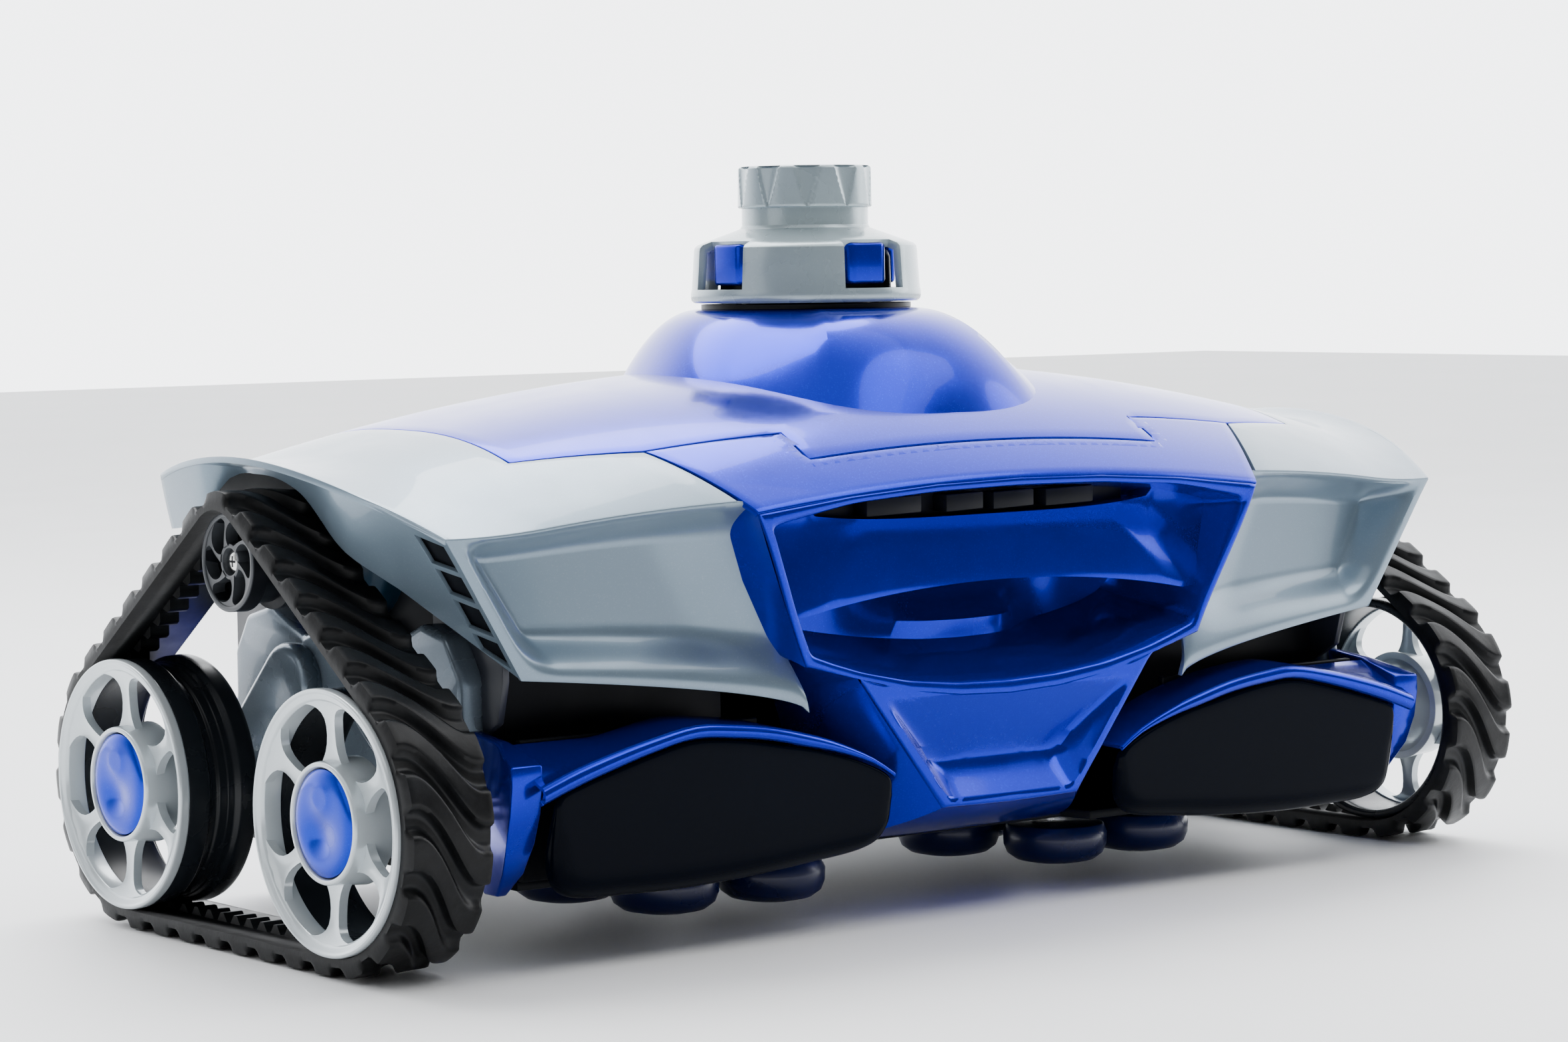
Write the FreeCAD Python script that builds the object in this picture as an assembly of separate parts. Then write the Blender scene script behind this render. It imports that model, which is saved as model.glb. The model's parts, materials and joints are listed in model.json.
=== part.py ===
"""Suction-side pool cleaner on two rubber tracks: every separate piece as its own solid, in millimetres.

Frame: +Z up, -Y is the front, +X the cleaner's left-hand side seen from behind; the origin is on the
floor, midway between the two tracks. Left here means -X and right means +X.
"""

import FreeCAD, Part
import math
import os

V = FreeCAD.Vector
PARTS = "parts"
os.makedirs(PARTS, exist_ok=True)

# ---------------------------------------------------------------- driving dimensions
HALF_WIDTH = 270.0          # outer face of a wheel, from the centre plane
TRACK_IN = 234.0            # inner and outer edge of a belt
TRACK_OUT = 268.0
WHEEL_Y = 71.4              # wheel centres, ahead of and behind the middle
WHEEL_Z = 54.0
WHEEL_R = 46.3
PULLEY_Z = 139.5
PULLEY_R = 18.2
BELT_GAP = 0.4              # a belt clears the drums by this much
BAND = 2.8                  # belt band, without lugs
LUG = 4.5                   # lug height
LUGS = 33
TEETH = 66                  # drive teeth inside a belt
TOOTH = 3.2

FRONT_Y = -122.0            # front face of the nose
CROWN = 203.0               # height of the top surface on the axis of the swivel
SIDE_FALL = 5.3e-4          # the top falls by this times x squared
END_FALL = 40.5             # and by this at END_Y, with the power END_POWER
END_Y = 126.4
END_POWER = 2.5
SKIN = 2.6                  # shell thickness
SEAM = 0.6                  # gap between two shells
COVER_X = 190.0             # half width of the opening cover
DOME_R = 84.0
DOME_TOP = 224.5

MODULE = 1.0                # gears inside the engine
PINION_TEETH = 16
WHEEL_TEETH = 43
TURBINE_Z = PULLEY_Z - MODULE * (PINION_TEETH + WHEEL_TEETH) / 2
SHAFT_R = 4.0
FIT = 0.05                  # radial running clearance of a shaft in its bore
CLEAR = 0.4                 # clearance between pieces that move past each other

HINGE_Y = 97.0              # hinge of the opening cover, at its back edge
HINGE_Z = 184.0
HINGE_X = 60.0              # middle of each hinge
FLAP_Y = -117.0             # middle plane of a front flap, and the height of its hinge
FLAP_Z = 56.0
FLAP_T = 4.0
BRUSH = (92.0, -30.0)       # spindle of a scrubbing brush
HOSE_BORE = 19.4            # radius of the socket that takes the hose cuff

X, Y, Z = V(1, 0, 0), V(0, 1, 0), V(0, 0, 1)
nodes = {}


# ---------------------------------------------------------------- small tools
def save(name, *shapes):
    """Keeps the solids of one sub-part; several solids share one node."""
    solids = [s for shape in shapes for s in shape.Solids]
    nodes[name] = solids[0] if len(solids) == 1 else Part.makeCompound(solids)


def mirror(shape):
    return shape.mirror(V(0, 0, 0), X)


def flip_y(shape):
    return shape.mirror(V(0, 0, 0), Y)


def both_sides(name, shape):
    """The shape is the right-hand piece; the left-hand one is its mirror image."""
    save("right_" + name, shape)
    save("left_" + name, mirror(shape))


def face_of(points):
    return Part.Face(Part.makePolygon(points + [points[0]]))


def prism_x(outline, x0, x1):
    return face_of([V(x0, y, z) for y, z in outline]).extrude(X * (x1 - x0))


def prism_y(outline, y0, y1):
    return face_of([V(x, y0, z) for x, z in outline]).extrude(Y * (y1 - y0))


def prism_z(outline, z0, z1):
    return face_of([V(x, y, z0) for x, y in outline]).extrude(Z * (z1 - z0))


def box(x0, x1, y0, y1, z0, z1):
    return Part.makeBox(x1 - x0, y1 - y0, z1 - z0, V(x0, y0, z0))


def rod_x(r, x0, x1, y, z):
    return Part.makeCylinder(r, x1 - x0, V(x0, y, z), X)


def rod_z(r, z0, z1, x=0.0, y=0.0):
    return Part.makeCylinder(r, z1 - z0, V(x, y, z0), Z)


def tube_x(r_out, r_in, x0, x1, y, z):
    return rod_x(r_out, x0, x1, y, z).cut(rod_x(r_in, x0 - 1, x1 + 1, y, z))


def tube_z(r_out, r_in, z0, z1, x=0.0, y=0.0):
    return rod_z(r_out, z0, z1, x, y).cut(rod_z(r_in, z0 - 1, z1 + 1, x, y))


def turned_z(profile):
    """Turns a closed (radius, z) outline about the Z axis."""
    return face_of([V(r, 0, z) for r, z in profile]).revolve(V(0, 0, 0), Z, 360)


def turned_x(profile, y, z):
    """Turns a closed (radius, x) outline about the line through (y, z) along X."""
    return face_of([V(x, y + r, z) for r, x in profile]).revolve(V(0, y, z), X, 360)


def around_z(shape, count, start=0.0):
    copies = []
    for i in range(count):
        c = shape.copy()
        c.rotate(V(0, 0, 0), Z, start + 360.0 * i / count)
        copies.append(c)
    return copies


def fused(shapes):
    return shapes[0].multiFuse(shapes[1:])


def sheet(point, us, vs, push):
    """A solid skin: a smooth surface through point(u, v), given thickness along push."""
    grid = [[point(u, v) for v in vs] for u in us]
    surface = Part.BSplineSurface()
    surface.interpolate(grid)
    return surface.toShape().extrude(push)


def steps(a, b, n):
    return [a + (b - a) * i / (n - 1) for i in range(n)]


# ---------------------------------------------------------------- the top surface
def top_z(x, y):
    return CROWN - SIDE_FALL * x * x - END_FALL * (abs(y) / END_Y) ** END_POWER


def ridge_x(y):
    """Plan line of the flared outer edge of a fender."""
    return 261.0 - 20.0 * (y / 101.0) ** 2


def ridge_z(y):
    return 176.7 - 25.0 * (abs(y) / 101.0) ** 2


def top_block(depth, y0=-128.0, y1=122.0):
    """A skin of the given depth under the top surface, wider than any shell cut out of it."""
    return sheet(lambda x, y: V(x, y, top_z(x, y)), steps(-262, 262, 15), steps(y0, y1, 15), Z * -depth)


# ---------------------------------------------------------------- tracks
def belt_point(s, offset):
    """A point of the belt line, s from 0 to 1 round the loop from the bottom centre, offset outwards.

    The loop is the bottom run, a wheel, an upper run, the pulley, an upper run and a wheel; wrap is
    half the angle over which it holds the pulley.
    """
    reach = math.hypot(WHEEL_Y, PULLEY_Z - WHEEL_Z)
    run = math.sqrt(reach ** 2 - (WHEEL_R - PULLEY_R) ** 2)
    wrap = math.atan2(PULLEY_Z - WHEEL_Z, WHEEL_Y) - math.asin((WHEEL_R - PULLEY_R) / reach)
    spans = [WHEEL_Y, (math.pi - wrap) * WHEEL_R, run, 2 * wrap * PULLEY_R]
    spans += [run, (math.pi - wrap) * WHEEL_R, WHEEL_Y]
    at = (s % 1.0) * sum(spans)
    k = 0
    while at > spans[k] and k < len(spans) - 1:
        at -= spans[k]
        k += 1

    def on(cy, cz, r, turn):
        """turn is measured from straight down, towards +Y."""
        return cy + (r + offset) * math.sin(turn), cz - (r + offset) * math.cos(turn)

    if k == 0:
        return at, WHEEL_Z - WHEEL_R - offset
    if k == 6:
        return at - WHEEL_Y, WHEEL_Z - WHEEL_R - offset
    if k == 1:
        return on(WHEEL_Y, WHEEL_Z, WHEEL_R, at / WHEEL_R)
    if k == 3:
        return on(0.0, PULLEY_Z, PULLEY_R, math.pi - wrap + at / PULLEY_R)
    if k == 5:
        return on(-WHEEL_Y, WHEEL_Z, WHEEL_R, math.pi + wrap + at / WHEEL_R)
    turn = math.pi - wrap if k == 2 else math.pi + wrap
    a = on(WHEEL_Y, WHEEL_Z, WHEEL_R, turn) if k == 2 else on(0.0, PULLEY_Z, PULLEY_R, turn)
    b = on(0.0, PULLEY_Z, PULLEY_R, turn) if k == 2 else on(-WHEEL_Y, WHEEL_Z, WHEEL_R, turn)
    t = at / run
    return a[0] + (b[0] - a[0]) * t, a[1] + (b[1] - a[1]) * t


def toothed_loop(count, low, high, root, tip):
    """A closed outline at offset low with count teeth up to offset high."""
    points = []
    for i in range(count):
        for along, offset in ((-root, low), (-tip, high), (tip, high), (root, low)):
            points.append(belt_point((i + 0.5 + along) / count, offset))
    return points


def smooth_loop(offset, count=132):
    return [belt_point((i + 0.5) / count, offset) for i in range(count)]


def track():
    low = BELT_GAP
    band = prism_x(toothed_loop(LUGS, low + BAND, low + BAND + LUG, 0.34, 0.22), TRACK_IN, TRACK_OUT)
    band = band.cut(prism_x(smooth_loop(low), TRACK_IN - 1, TRACK_OUT + 1))
    middle = (TRACK_IN + TRACK_OUT) / 2
    rail = prism_x(smooth_loop(low + 0.5), middle - 4, middle + 4)
    rail = rail.cut(prism_x(toothed_loop(TEETH, low, low - TOOTH, 0.36, 0.16), middle - 5, middle + 5))
    both_sides("track", band.fuse(rail))


def wheel(y, end):
    """A wheel: the dark double drum, the bright spoked rim on its face and the blue cap."""
    middle = (TRACK_IN + TRACK_OUT) / 2
    groove = WHEEL_R - TOOTH - 1.4
    face = HALF_WIDTH
    drum = turned_x(
        [
            (SHAFT_R + 1 + FIT, 238), (9.5, 238), (9.5, 250), (38, 252), (41, 236.5), (WHEEL_R, 236.5),
            (WHEEL_R, middle - 5), (groove, middle - 5), (groove, middle + 5), (WHEEL_R, middle + 5),
            (WHEEL_R, face - 4), (43.4, face - 4), (43.4, 258.5), (9.5, 256), (9.5, 262),
            (SHAFT_R + 1 + FIT, 262),
        ], y, WHEEL_Z)
    window = rod_x(9.5, 240, 262, y, WHEEL_Z + 27)
    for i in range(6):
        w = window.copy()
        w.rotate(V(0, y, WHEEL_Z), X, 60 * i + 30)
        drum = drum.cut(w)
    rim = turned_x([(20.2, 264), (24, 264), (24, face - 1.4), (20.2, face)], y, WHEEL_Z)
    rim = rim.fuse(turned_x([(38, 266), (WHEEL_R, 266), (WHEEL_R, face), (38, face)], y, WHEEL_Z))
    spoke = prism_x([(y - 2.4, WHEEL_Z + 22), (y + 2.4, WHEEL_Z + 22), (y + 5.5, WHEEL_Z + 40),
                     (y - 5.5, WHEEL_Z + 40)], 266, face - 1.5)
    for i in range(6):
        s = spoke.copy()
        s.rotate(V(0, y, WHEEL_Z), X, 60 * i + 12)
        rim = rim.fuse(s)
    plate = turned_x([(0, 262), (24, 262), (24, 264), (0, 264)], y, WHEEL_Z)
    cap = turned_x([(0, 264), (19.4, 264), (19.4, face), (12, face + 0.9), (0, face + 1)], y, WHEEL_Z)
    both_sides(end + "_wheel_drum", drum)
    both_sides(end + "_wheel_rim", rim.fuse(plate))
    both_sides(end + "_wheel_cap", cap)


def pulley():
    """Drive pulley at the top of a track, its drive shaft, big gear and the screw that holds it."""
    middle = (TRACK_IN + TRACK_OUT) / 2
    groove = PULLEY_R - TOOTH - 1.0
    drum = turned_x(
        [
            (SHAFT_R, 236.5), (PULLEY_R, 236.5), (PULLEY_R, middle - 5), (groove, middle - 5),
            (groove, middle + 5), (PULLEY_R, middle + 5), (PULLEY_R, 263), (16.4, 263), (16.4, 257.6),
            (6, 257.6), (6, 258), (SHAFT_R, 258),
        ], 0.0, PULLEY_Z)
    for i in range(6):
        fin = box(256.8, 262.4, -0.9, 0.9, PULLEY_Z + 5, PULLEY_Z + 17.2)
        fin.rotate(V(0, 0, PULLEY_Z), X, 60 * i + 20)
        drum = drum.fuse(fin)
    both_sides("drive_pulley", drum)
    shaft = rod_x(SHAFT_R, 54, 258, 0, PULLEY_Z).cut(rod_x(1.8, 242, 259, 0, PULLEY_Z))
    both_sides("drive_shaft", shaft)
    screw = rod_x(1.8, 244, 258, 0, PULLEY_Z)
    screw = screw.fuse(turned_x([(0, 258), (4.7, 258), (4.7, 259), (2.6, 260.8), (0, 261.1)], 0, PULLEY_Z))
    slot = box(259.9, 262, -2.1, 2.1, PULLEY_Z - 0.4, PULLEY_Z + 0.4)
    cross = box(259.9, 262, -0.4, 0.4, PULLEY_Z - 2.1, PULLEY_Z + 2.1)
    both_sides("pulley_screw", screw.cut(slot).cut(cross))


# ---------------------------------------------------------------- engine
def gear_outline(teeth, addendum, phase):
    """Involute teeth with a little backlash, as a closed outline of (y, z) about the origin."""
    pitch = MODULE * teeth / 2
    base = pitch * math.cos(math.radians(20))
    tip = pitch + addendum
    root = pitch - 1.3 * MODULE
    spread = math.tan(math.radians(20)) - math.radians(20)
    half = math.pi / (2 * teeth) - 0.09 / pitch

    def flank(r):
        a = math.acos(min(1.0, base / r))
        return half + spread - (math.tan(a) - a)

    radii = [max(base, root + 0.1) + (tip - max(base, root + 0.1)) * i / 4 for i in range(5)]
    points = []
    for i in range(teeth):
        mid = phase + 2 * math.pi * i / teeth
        edge = [(root, flank(radii[0]) + 0.06 / pitch)] + [(r, flank(r)) for r in radii]
        for r, w in edge:
            points.append((r * math.sin(mid - w), r * math.cos(mid - w)))
        for r, w in reversed(edge):
            points.append((r * math.sin(mid + w), r * math.cos(mid + w)))
    return points


def gear(teeth, addendum, phase, bore, x0, x1, z):
    outline = [(a, z + b) for a, b in gear_outline(teeth, addendum, phase)]
    return prism_x(outline, x0, x1).cut(rod_x(bore, x0 - 1, x1 + 1, 0, z))


def engine():
    """Turbine across the cleaner, a pinion at each end and one big gear on each drive shaft."""
    big = gear(WHEEL_TEETH, 0.95, math.pi, SHAFT_R, 57, 64, PULLEY_Z)
    for i in range(6):
        hole = rod_x(3.6, 56, 65, 0, PULLEY_Z + 12)
        hole.rotate(V(0, 0, PULLEY_Z), X, 60 * i)
        big = big.cut(hole)
    both_sides("drive_gear", big)
    small = gear(PINION_TEETH, 0.9, math.pi / PINION_TEETH, 3.0, 56, 65, TURBINE_Z)
    both_sides("turbine_pinion", small)
    shaft = rod_x(3.0, -66, 66, 0, TURBINE_Z)
    save("turbine_shaft", shaft)
    hub = tube_x(7, 3.0, -34, 34, 0, TURBINE_Z)
    blade = box(-33, 33, -1.1, 1.1, TURBINE_Z + 6.5, TURBINE_Z + 31)
    blades = []
    for i in range(8):
        b = blade.copy()
        b.rotate(V(0, 0, TURBINE_Z), X, 45 * i)
        blades.append(b)
    discs = [tube_x(24, 6.5, x, x + 1.6, 0, TURBINE_Z) for x in (-34, 32.4)]
    save("turbine", fused([hub] + blades + discs))
    bearings = []
    for side in (-1, 1):
        x0 = 40 if side > 0 else -47
        bearings.append(tube_x(8, 3.0 + FIT, x0, x0 + 7, 0, TURBINE_Z))
    save("turbine_bearings", *bearings)

    # the casing: a drum round the turbine, a duct up to the cover and a throat down to the floor
    outer = rod_x(38, -49, 49, 0, TURBINE_Z)
    outer = outer.fuse(rod_z(24, TURBINE_Z, 158)).fuse(box(-36, 36, -24, 24, 42, TURBINE_Z))
    inner = rod_x(33.5, -38, 38, 0, TURBINE_Z)
    inner = inner.fuse(rod_z(19, TURBINE_Z, 159)).fuse(box(-32, 32, -20, 20, 41, TURBINE_Z))
    casing = outer.cut(inner)
    casing = casing.cut(rod_x(8, 40, 47, 0, TURBINE_Z)).cut(rod_x(8, -47, -40, 0, TURBINE_Z))
    casing = casing.cut(rod_x(4.0, -50, 50, 0, TURBINE_Z))
    split = TURBINE_Z
    below = box(-80, 80, -80, 80, 0, split)
    above = box(-80, 80, -80, 80, split, 200)
    flange = box(-49, 49, -46, 46, split - 3, split + 3).cut(rod_x(37, -60, 60, 0, TURBINE_Z))
    casing = casing.fuse(flange)
    save("engine_lower_casing", casing.common(below))
    save("engine_upper_casing", casing.common(above))
    save("engine_gasket", tube_z(23, 19.5, 158, 160))
    screws = []
    for x in (-42, 42):
        for y in (-42, 42):
            screws.append(rod_z(3.0, split + 3, split + 5, x, y))
    save("engine_screws", *screws)


# ---------------------------------------------------------------- frames and bearings
def side_frame():
    """The bright A-shaped frame inboard of a track: two wheel axles and the drive shaft's housing."""
    plate = prism_x(
        [(-84, 60), (-60, 40), (60, 40), (84, 60), (52, 96), (24, 120), (22, PULLEY_Z), (-22, PULLEY_Z),
         (-24, 120), (-52, 96)], 205, 212)
    frame = plate.fuse(rod_x(24, 178, 212, 0, PULLEY_Z))
    frame = frame.fuse(rod_x(17, 178, 224, 0, PULLEY_Z))
    for side in (-1, 1):
        arm = prism_x([(side * 20, 112), (side * 46, 98), (side * 84, 62), (side * 62, 44)], 205, 218)
        frame = frame.fuse(arm).fuse(rod_x(20, 205, 224, side * WHEEL_Y, WHEEL_Z))
    frame = frame.cut(rod_x(9, 200, 226, 0, PULLEY_Z)).cut(rod_x(20, 170, 200, 0, PULLEY_Z))
    frame = frame.cut(rod_x(9, 190, 210, 0, PULLEY_Z))
    for side in (-1, 1):
        frame = frame.cut(rod_x(SHAFT_R + 1, 204, 226, side * WHEEL_Y, WHEEL_Z))
    both_sides("side_frame", frame)
    bush = tube_x(9, SHAFT_R + FIT, 200, 224, 0, PULLEY_Z)
    axles = []
    for side in (-1, 1):
        axle = rod_x(SHAFT_R + 1, 205, 261, side * WHEEL_Y, WHEEL_Z)
        axle = axle.fuse(rod_x(8, 224.6, 237.6, side * WHEEL_Y, WHEEL_Z))
        axles += [axle, mirror(axle)]
    save("wheel_axles", *axles)
    save("drive_bushes", bush, mirror(bush))


def lower_body():
    """The blue lower body: floor with the suction mouth, skirts, hoods over the flaps, bulkheads."""
    side_x = 205.0
    body = prism_z([(-side_x, -96), (-60, -100), (60, -100), (side_x, -96), (side_x, 96), (60, 100),
                    (-60, 100), (-side_x, 96)], 26, 29.5)
    body = body.cut(box(-31, 31, -19, 19, 20, 40))
    body = body.fuse(box(-37, 37, -25, 25, 20, 42).cut(box(-31, 31, -19, 19, 19, 43)))
    skirt = prism_x([(-113, 73), (-111, 58), (-104, 42), (-92, 26), (92, 26), (104, 42), (111, 58),
                     (113, 73), (70, 84), (30, 98), (-30, 98), (-70, 84)], side_x - 4, side_x)
    lip = prism_x([(-113, 73), (-111, 58), (-104, 42), (-92, 26), (-85, 26), (-97, 43), (-104, 58),
                   (-106, 72)], side_x - 4, 221.5)
    trim = [(216, 59), (216, 63), (184, 73), (146, 81.5), (113, 79), (84, 71.5), (66, 63.5), (64, 60),
            (84, 67.5), (113, 75), (145, 77.8), (184, 69)]
    hood = prism_y(trim, -121, -95)
    post = box(55.5, 60, -120, -96, 26, 64)
    ear = box(208.8, 213.5, -120, -106, 51, 64)
    corner = fused([lip, hood, post, ear])
    corner = corner.cut(rod_x(2.0 + FIT, 54, 64, FLAP_Y, FLAP_Z)).cut(rod_x(2.0 + FIT, 207, 214, FLAP_Y, FLAP_Z))
    pieces = [skirt, mirror(skirt), corner, mirror(corner), flip_y(corner), flip_y(mirror(corner))]
    for side in (-1, 1):
        pieces.append(box(-56, 56, min(side * 98, side * 101), max(side * 98, side * 101), 26, 42))
        pieces.append(box(-100, 100, min(side * 69, side * 72), max(side * 69, side * 72), 29, 112))
        pieces.append(box(min(side * 100, side * 103), max(side * 100, side * 103), -98, 98, 29, 60))
        for y in (-40, 40):
            roof = top_z(198, y) - SKIN
            pieces.append(box(min(side * 193, side * 203), max(side * 193, side * 203), y - 3, y + 3, 29, roof - 3))
    for x in (-45, 45):
        for y in (-42, 42):
            pieces.append(rod_z(3.5, 29, TURBINE_Z - 3, x, y))
    pieces.append(box(-49, 49, -46, 46, 38, 42).cut(box(-36, 36, -24, 24, 30, 50)))
    body = body.multiFuse(pieces)
    for side in (-1, 1):
        body = body.cut(rod_z(SHAFT_R, 20, 40, side * BRUSH[0], BRUSH[1]))
        for y in (-80, 80):
            body = body.cut(rod_z(1.7, 24, 36, side * 150, y))
    save("lower_body", body)


def flap(y_sign, x_sign):
    """A glossy panel that hangs on two stub pins, with its outline seen from the front."""
    outline = [(60.5, 34), (66, 30.2), (90, 26.4), (120, 24), (178, 22.5), (196, 30), (205, 42), (208, 58),
               (184, 67.5), (145, 76.4), (113, 73.6), (84, 66.2), (67, 60.5)]
    panel = prism_y(outline, FLAP_Y - FLAP_T / 2, FLAP_Y + FLAP_T / 2)
    panel = panel.fuse(rod_x(2.0, 56, 72, FLAP_Y, FLAP_Z)).fuse(rod_x(2.0, 200, 213, FLAP_Y, FLAP_Z))
    if x_sign < 0:
        panel = mirror(panel)
    return flip_y(panel) if y_sign > 0 else panel


def flaps():
    for y_sign, end in ((-1, "front"), (1, "rear")):
        for x_sign, side in ((-1, "left"), (1, "right")):
            save(f"{end}_{side}_flap", flap(y_sign, x_sign))


def brushes():
    """Counter-rotating scrubbing brushes under the floor: a hub with five rounded soft feet."""
    for x_sign, side in ((-1, "left"), (1, "right")):
        cx, cy = x_sign * BRUSH[0], BRUSH[1]
        feet = [rod_z(15, 12, 22)]
        for i in range(5):
            a = math.radians(72 * i + 22)
            px, py = 40 * math.cos(a), 40 * math.sin(a)
            foot = turned_z([(0, 6), (7, 6.4), (11, 9), (12.5, 13), (12.5, 22), (0, 22)])
            foot.translate(V(px, py, 0))
            arm = box(0, 40, -5, 5, 14, 21)
            arm.rotate(V(0, 0, 0), Z, 72 * i + 22)
            feet += [foot, arm]
        brush = fused(feet).cut(rod_z(SHAFT_R + FIT, 5, 30))
        if x_sign < 0:
            brush = mirror(brush)
        brush.translate(V(cx, cy, 0))
        save(side + "_brush", brush)
    spindles = []
    for x_sign in (-1, 1):
        cx, cy = x_sign * BRUSH[0], BRUSH[1]
        spindles.append(rod_z(SHAFT_R, 9.4, 34, cx, cy).fuse(rod_z(7, 9, 11.6, cx, cy)).fuse(
            rod_z(7, 29.5, 33, cx, cy)))
    save("brush_spindles", *spindles)


# ---------------------------------------------------------------- outer shells
def nose_outline():
    """The front shield seen from the front, carried on above the top surface that will trim it."""
    right = [(143, 196), (143, 176), (121.6, 154.5), (96, 98.4), (72, 92.5), (33, 42)]
    return right + [(-x, z) for x, z in reversed(right)]


def mouth_outline():
    right = [(0, 160), (40, 159.4), (77, 157), (112, 151), (114.5, 146), (97, 107), (92, 101.8), (65, 95.5),
             (31, 89.4), (0, 87.6)]
    return right + [(-x, z) for x, z in reversed(right[1:-1])]


def scaled(outline, grow):
    """The outline moved outwards by about grow all round."""
    xs = [x for x, z in outline]
    zs = [z for x, z in outline]
    mid_z = (min(zs) + max(zs)) / 2
    kx = 1 + grow / max(xs)
    kz = 1 + 2 * grow / (max(zs) - min(zs))
    return [(x * kx, mid_z + (z - mid_z) * kz) for x, z in outline]


def above_top(drop):
    """Everything near the nose or the tail that is higher than drop below the top surface."""
    return sheet(lambda x, y: V(x, y, top_z(x, y) - drop), steps(-150, 150, 9), steps(-132, 132, 17), Z * 60)


def front_shell():
    """The blue nose: side walls, a face round a bowl-shaped recess, a scoop and a slot over the grip."""
    walls = prism_y(nose_outline(), FRONT_Y, -72).cut(prism_y(scaled(nose_outline(), -SKIN), FRONT_Y + SKIN, -71))
    bowl = prism_y(scaled(mouth_outline(), 0.6 * SKIN), FRONT_Y + 1, -83.4)
    bowl = bowl.common(prism_y(nose_outline(), FRONT_Y, -72))
    shell = walls.fuse(bowl).cut(prism_y(mouth_outline(), FRONT_Y - 1, -86))
    scoop = [(58, 84), (29, 47), (-29, 47), (-58, 84), (0, 79)]
    pocket = prism_y(scaled(scoop, SKIN), FRONT_Y + 1, -109)
    shell = shell.fuse(pocket).cut(prism_y(scoop, FRONT_Y - 1, -112))
    shell = shell.cut(above_top(0.5 * SKIN))
    slot = box(-74, 74, -112, -70, 149.5, 157)
    catch_way = box(-30.6, 30.6, -108.4, -103.4, 156, 180)
    shell = shell.cut(slot).cut(catch_way)
    roof = top_block(SKIN, -127, -60)
    plan = prism_z([(-121.6, -126), (121.6, -126), (142.5, -88), (85.6, -91.8 - SEAM), (85.6, -108 - SEAM),
                    (-85.6, -108 - SEAM), (-85.6, -91.8 - SEAM), (-142.5, -88)], 140, 200)
    shell = shell.cut(above_top(SKIN + CLEAR).cut(plan))
    save("front_shell", shell.fuse(roof.common(plan)))
    bar = prism_y([(-97, 117.6), (-70, 120.4), (-28, 124), (28, 124), (70, 120.4), (97, 117.6), (111.6, 145.6),
                   (107, 148.5), (82, 151.6), (70, 149.2), (0, 147.8), (-70, 149.2), (-82, 151.6),
                   (-107, 148.5), (-111.6, 145.6)], -119, -113)
    save("grip_bar", bar)


def rear_shell():
    """The blue tail: the same shoulders as the nose, closed, with five outlet slots and hinge ears."""
    shell = prism_y(nose_outline(), 72, 120).cut(prism_y(scaled(nose_outline(), -SKIN), 71, 120 - SKIN))
    for i in range(5):
        z = 104 + 9 * i
        reach = 44 + 7 * i
        shell = shell.cut(prism_y([(-reach, z), (reach, z), (reach + 3, z + 4), (-reach - 3, z + 4)], 110, 124))
    shell = shell.cut(above_top(0.5 * SKIN)).cut(box(-150, 150, 70, 97.2, 150, 200))
    roof = top_block(SKIN).common(prism_z([(-126, 120), (126, 120), (138, 97.2), (-138, 97.2)], 140, 200))
    shell = shell.fuse(roof)
    for x in (-HINGE_X, HINGE_X):
        shell = shell.cut(box(x - 5.4, x + 5.4, 95, 102, 170, 195))
        for x0 in (x - 10.4, x + 5.4):
            ear = rod_x(4.2, x0, x0 + 5, HINGE_Y, HINGE_Z).fuse(box(x0, x0 + 5, HINGE_Y + 0.5, 106, 174, HINGE_Z))
            shell = shell.fuse(ear)
        shell = shell.cut(rod_x(2.0, x - 11, x + 11, HINGE_Y, HINGE_Z))
    save("rear_shell", shell)
    pins = [rod_x(2.0, x - 10.4, x + 10.4, HINGE_Y, HINGE_Z) for x in (-HINGE_X, HINGE_X)]
    save("cover_hinge_pins", *pins)


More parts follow.
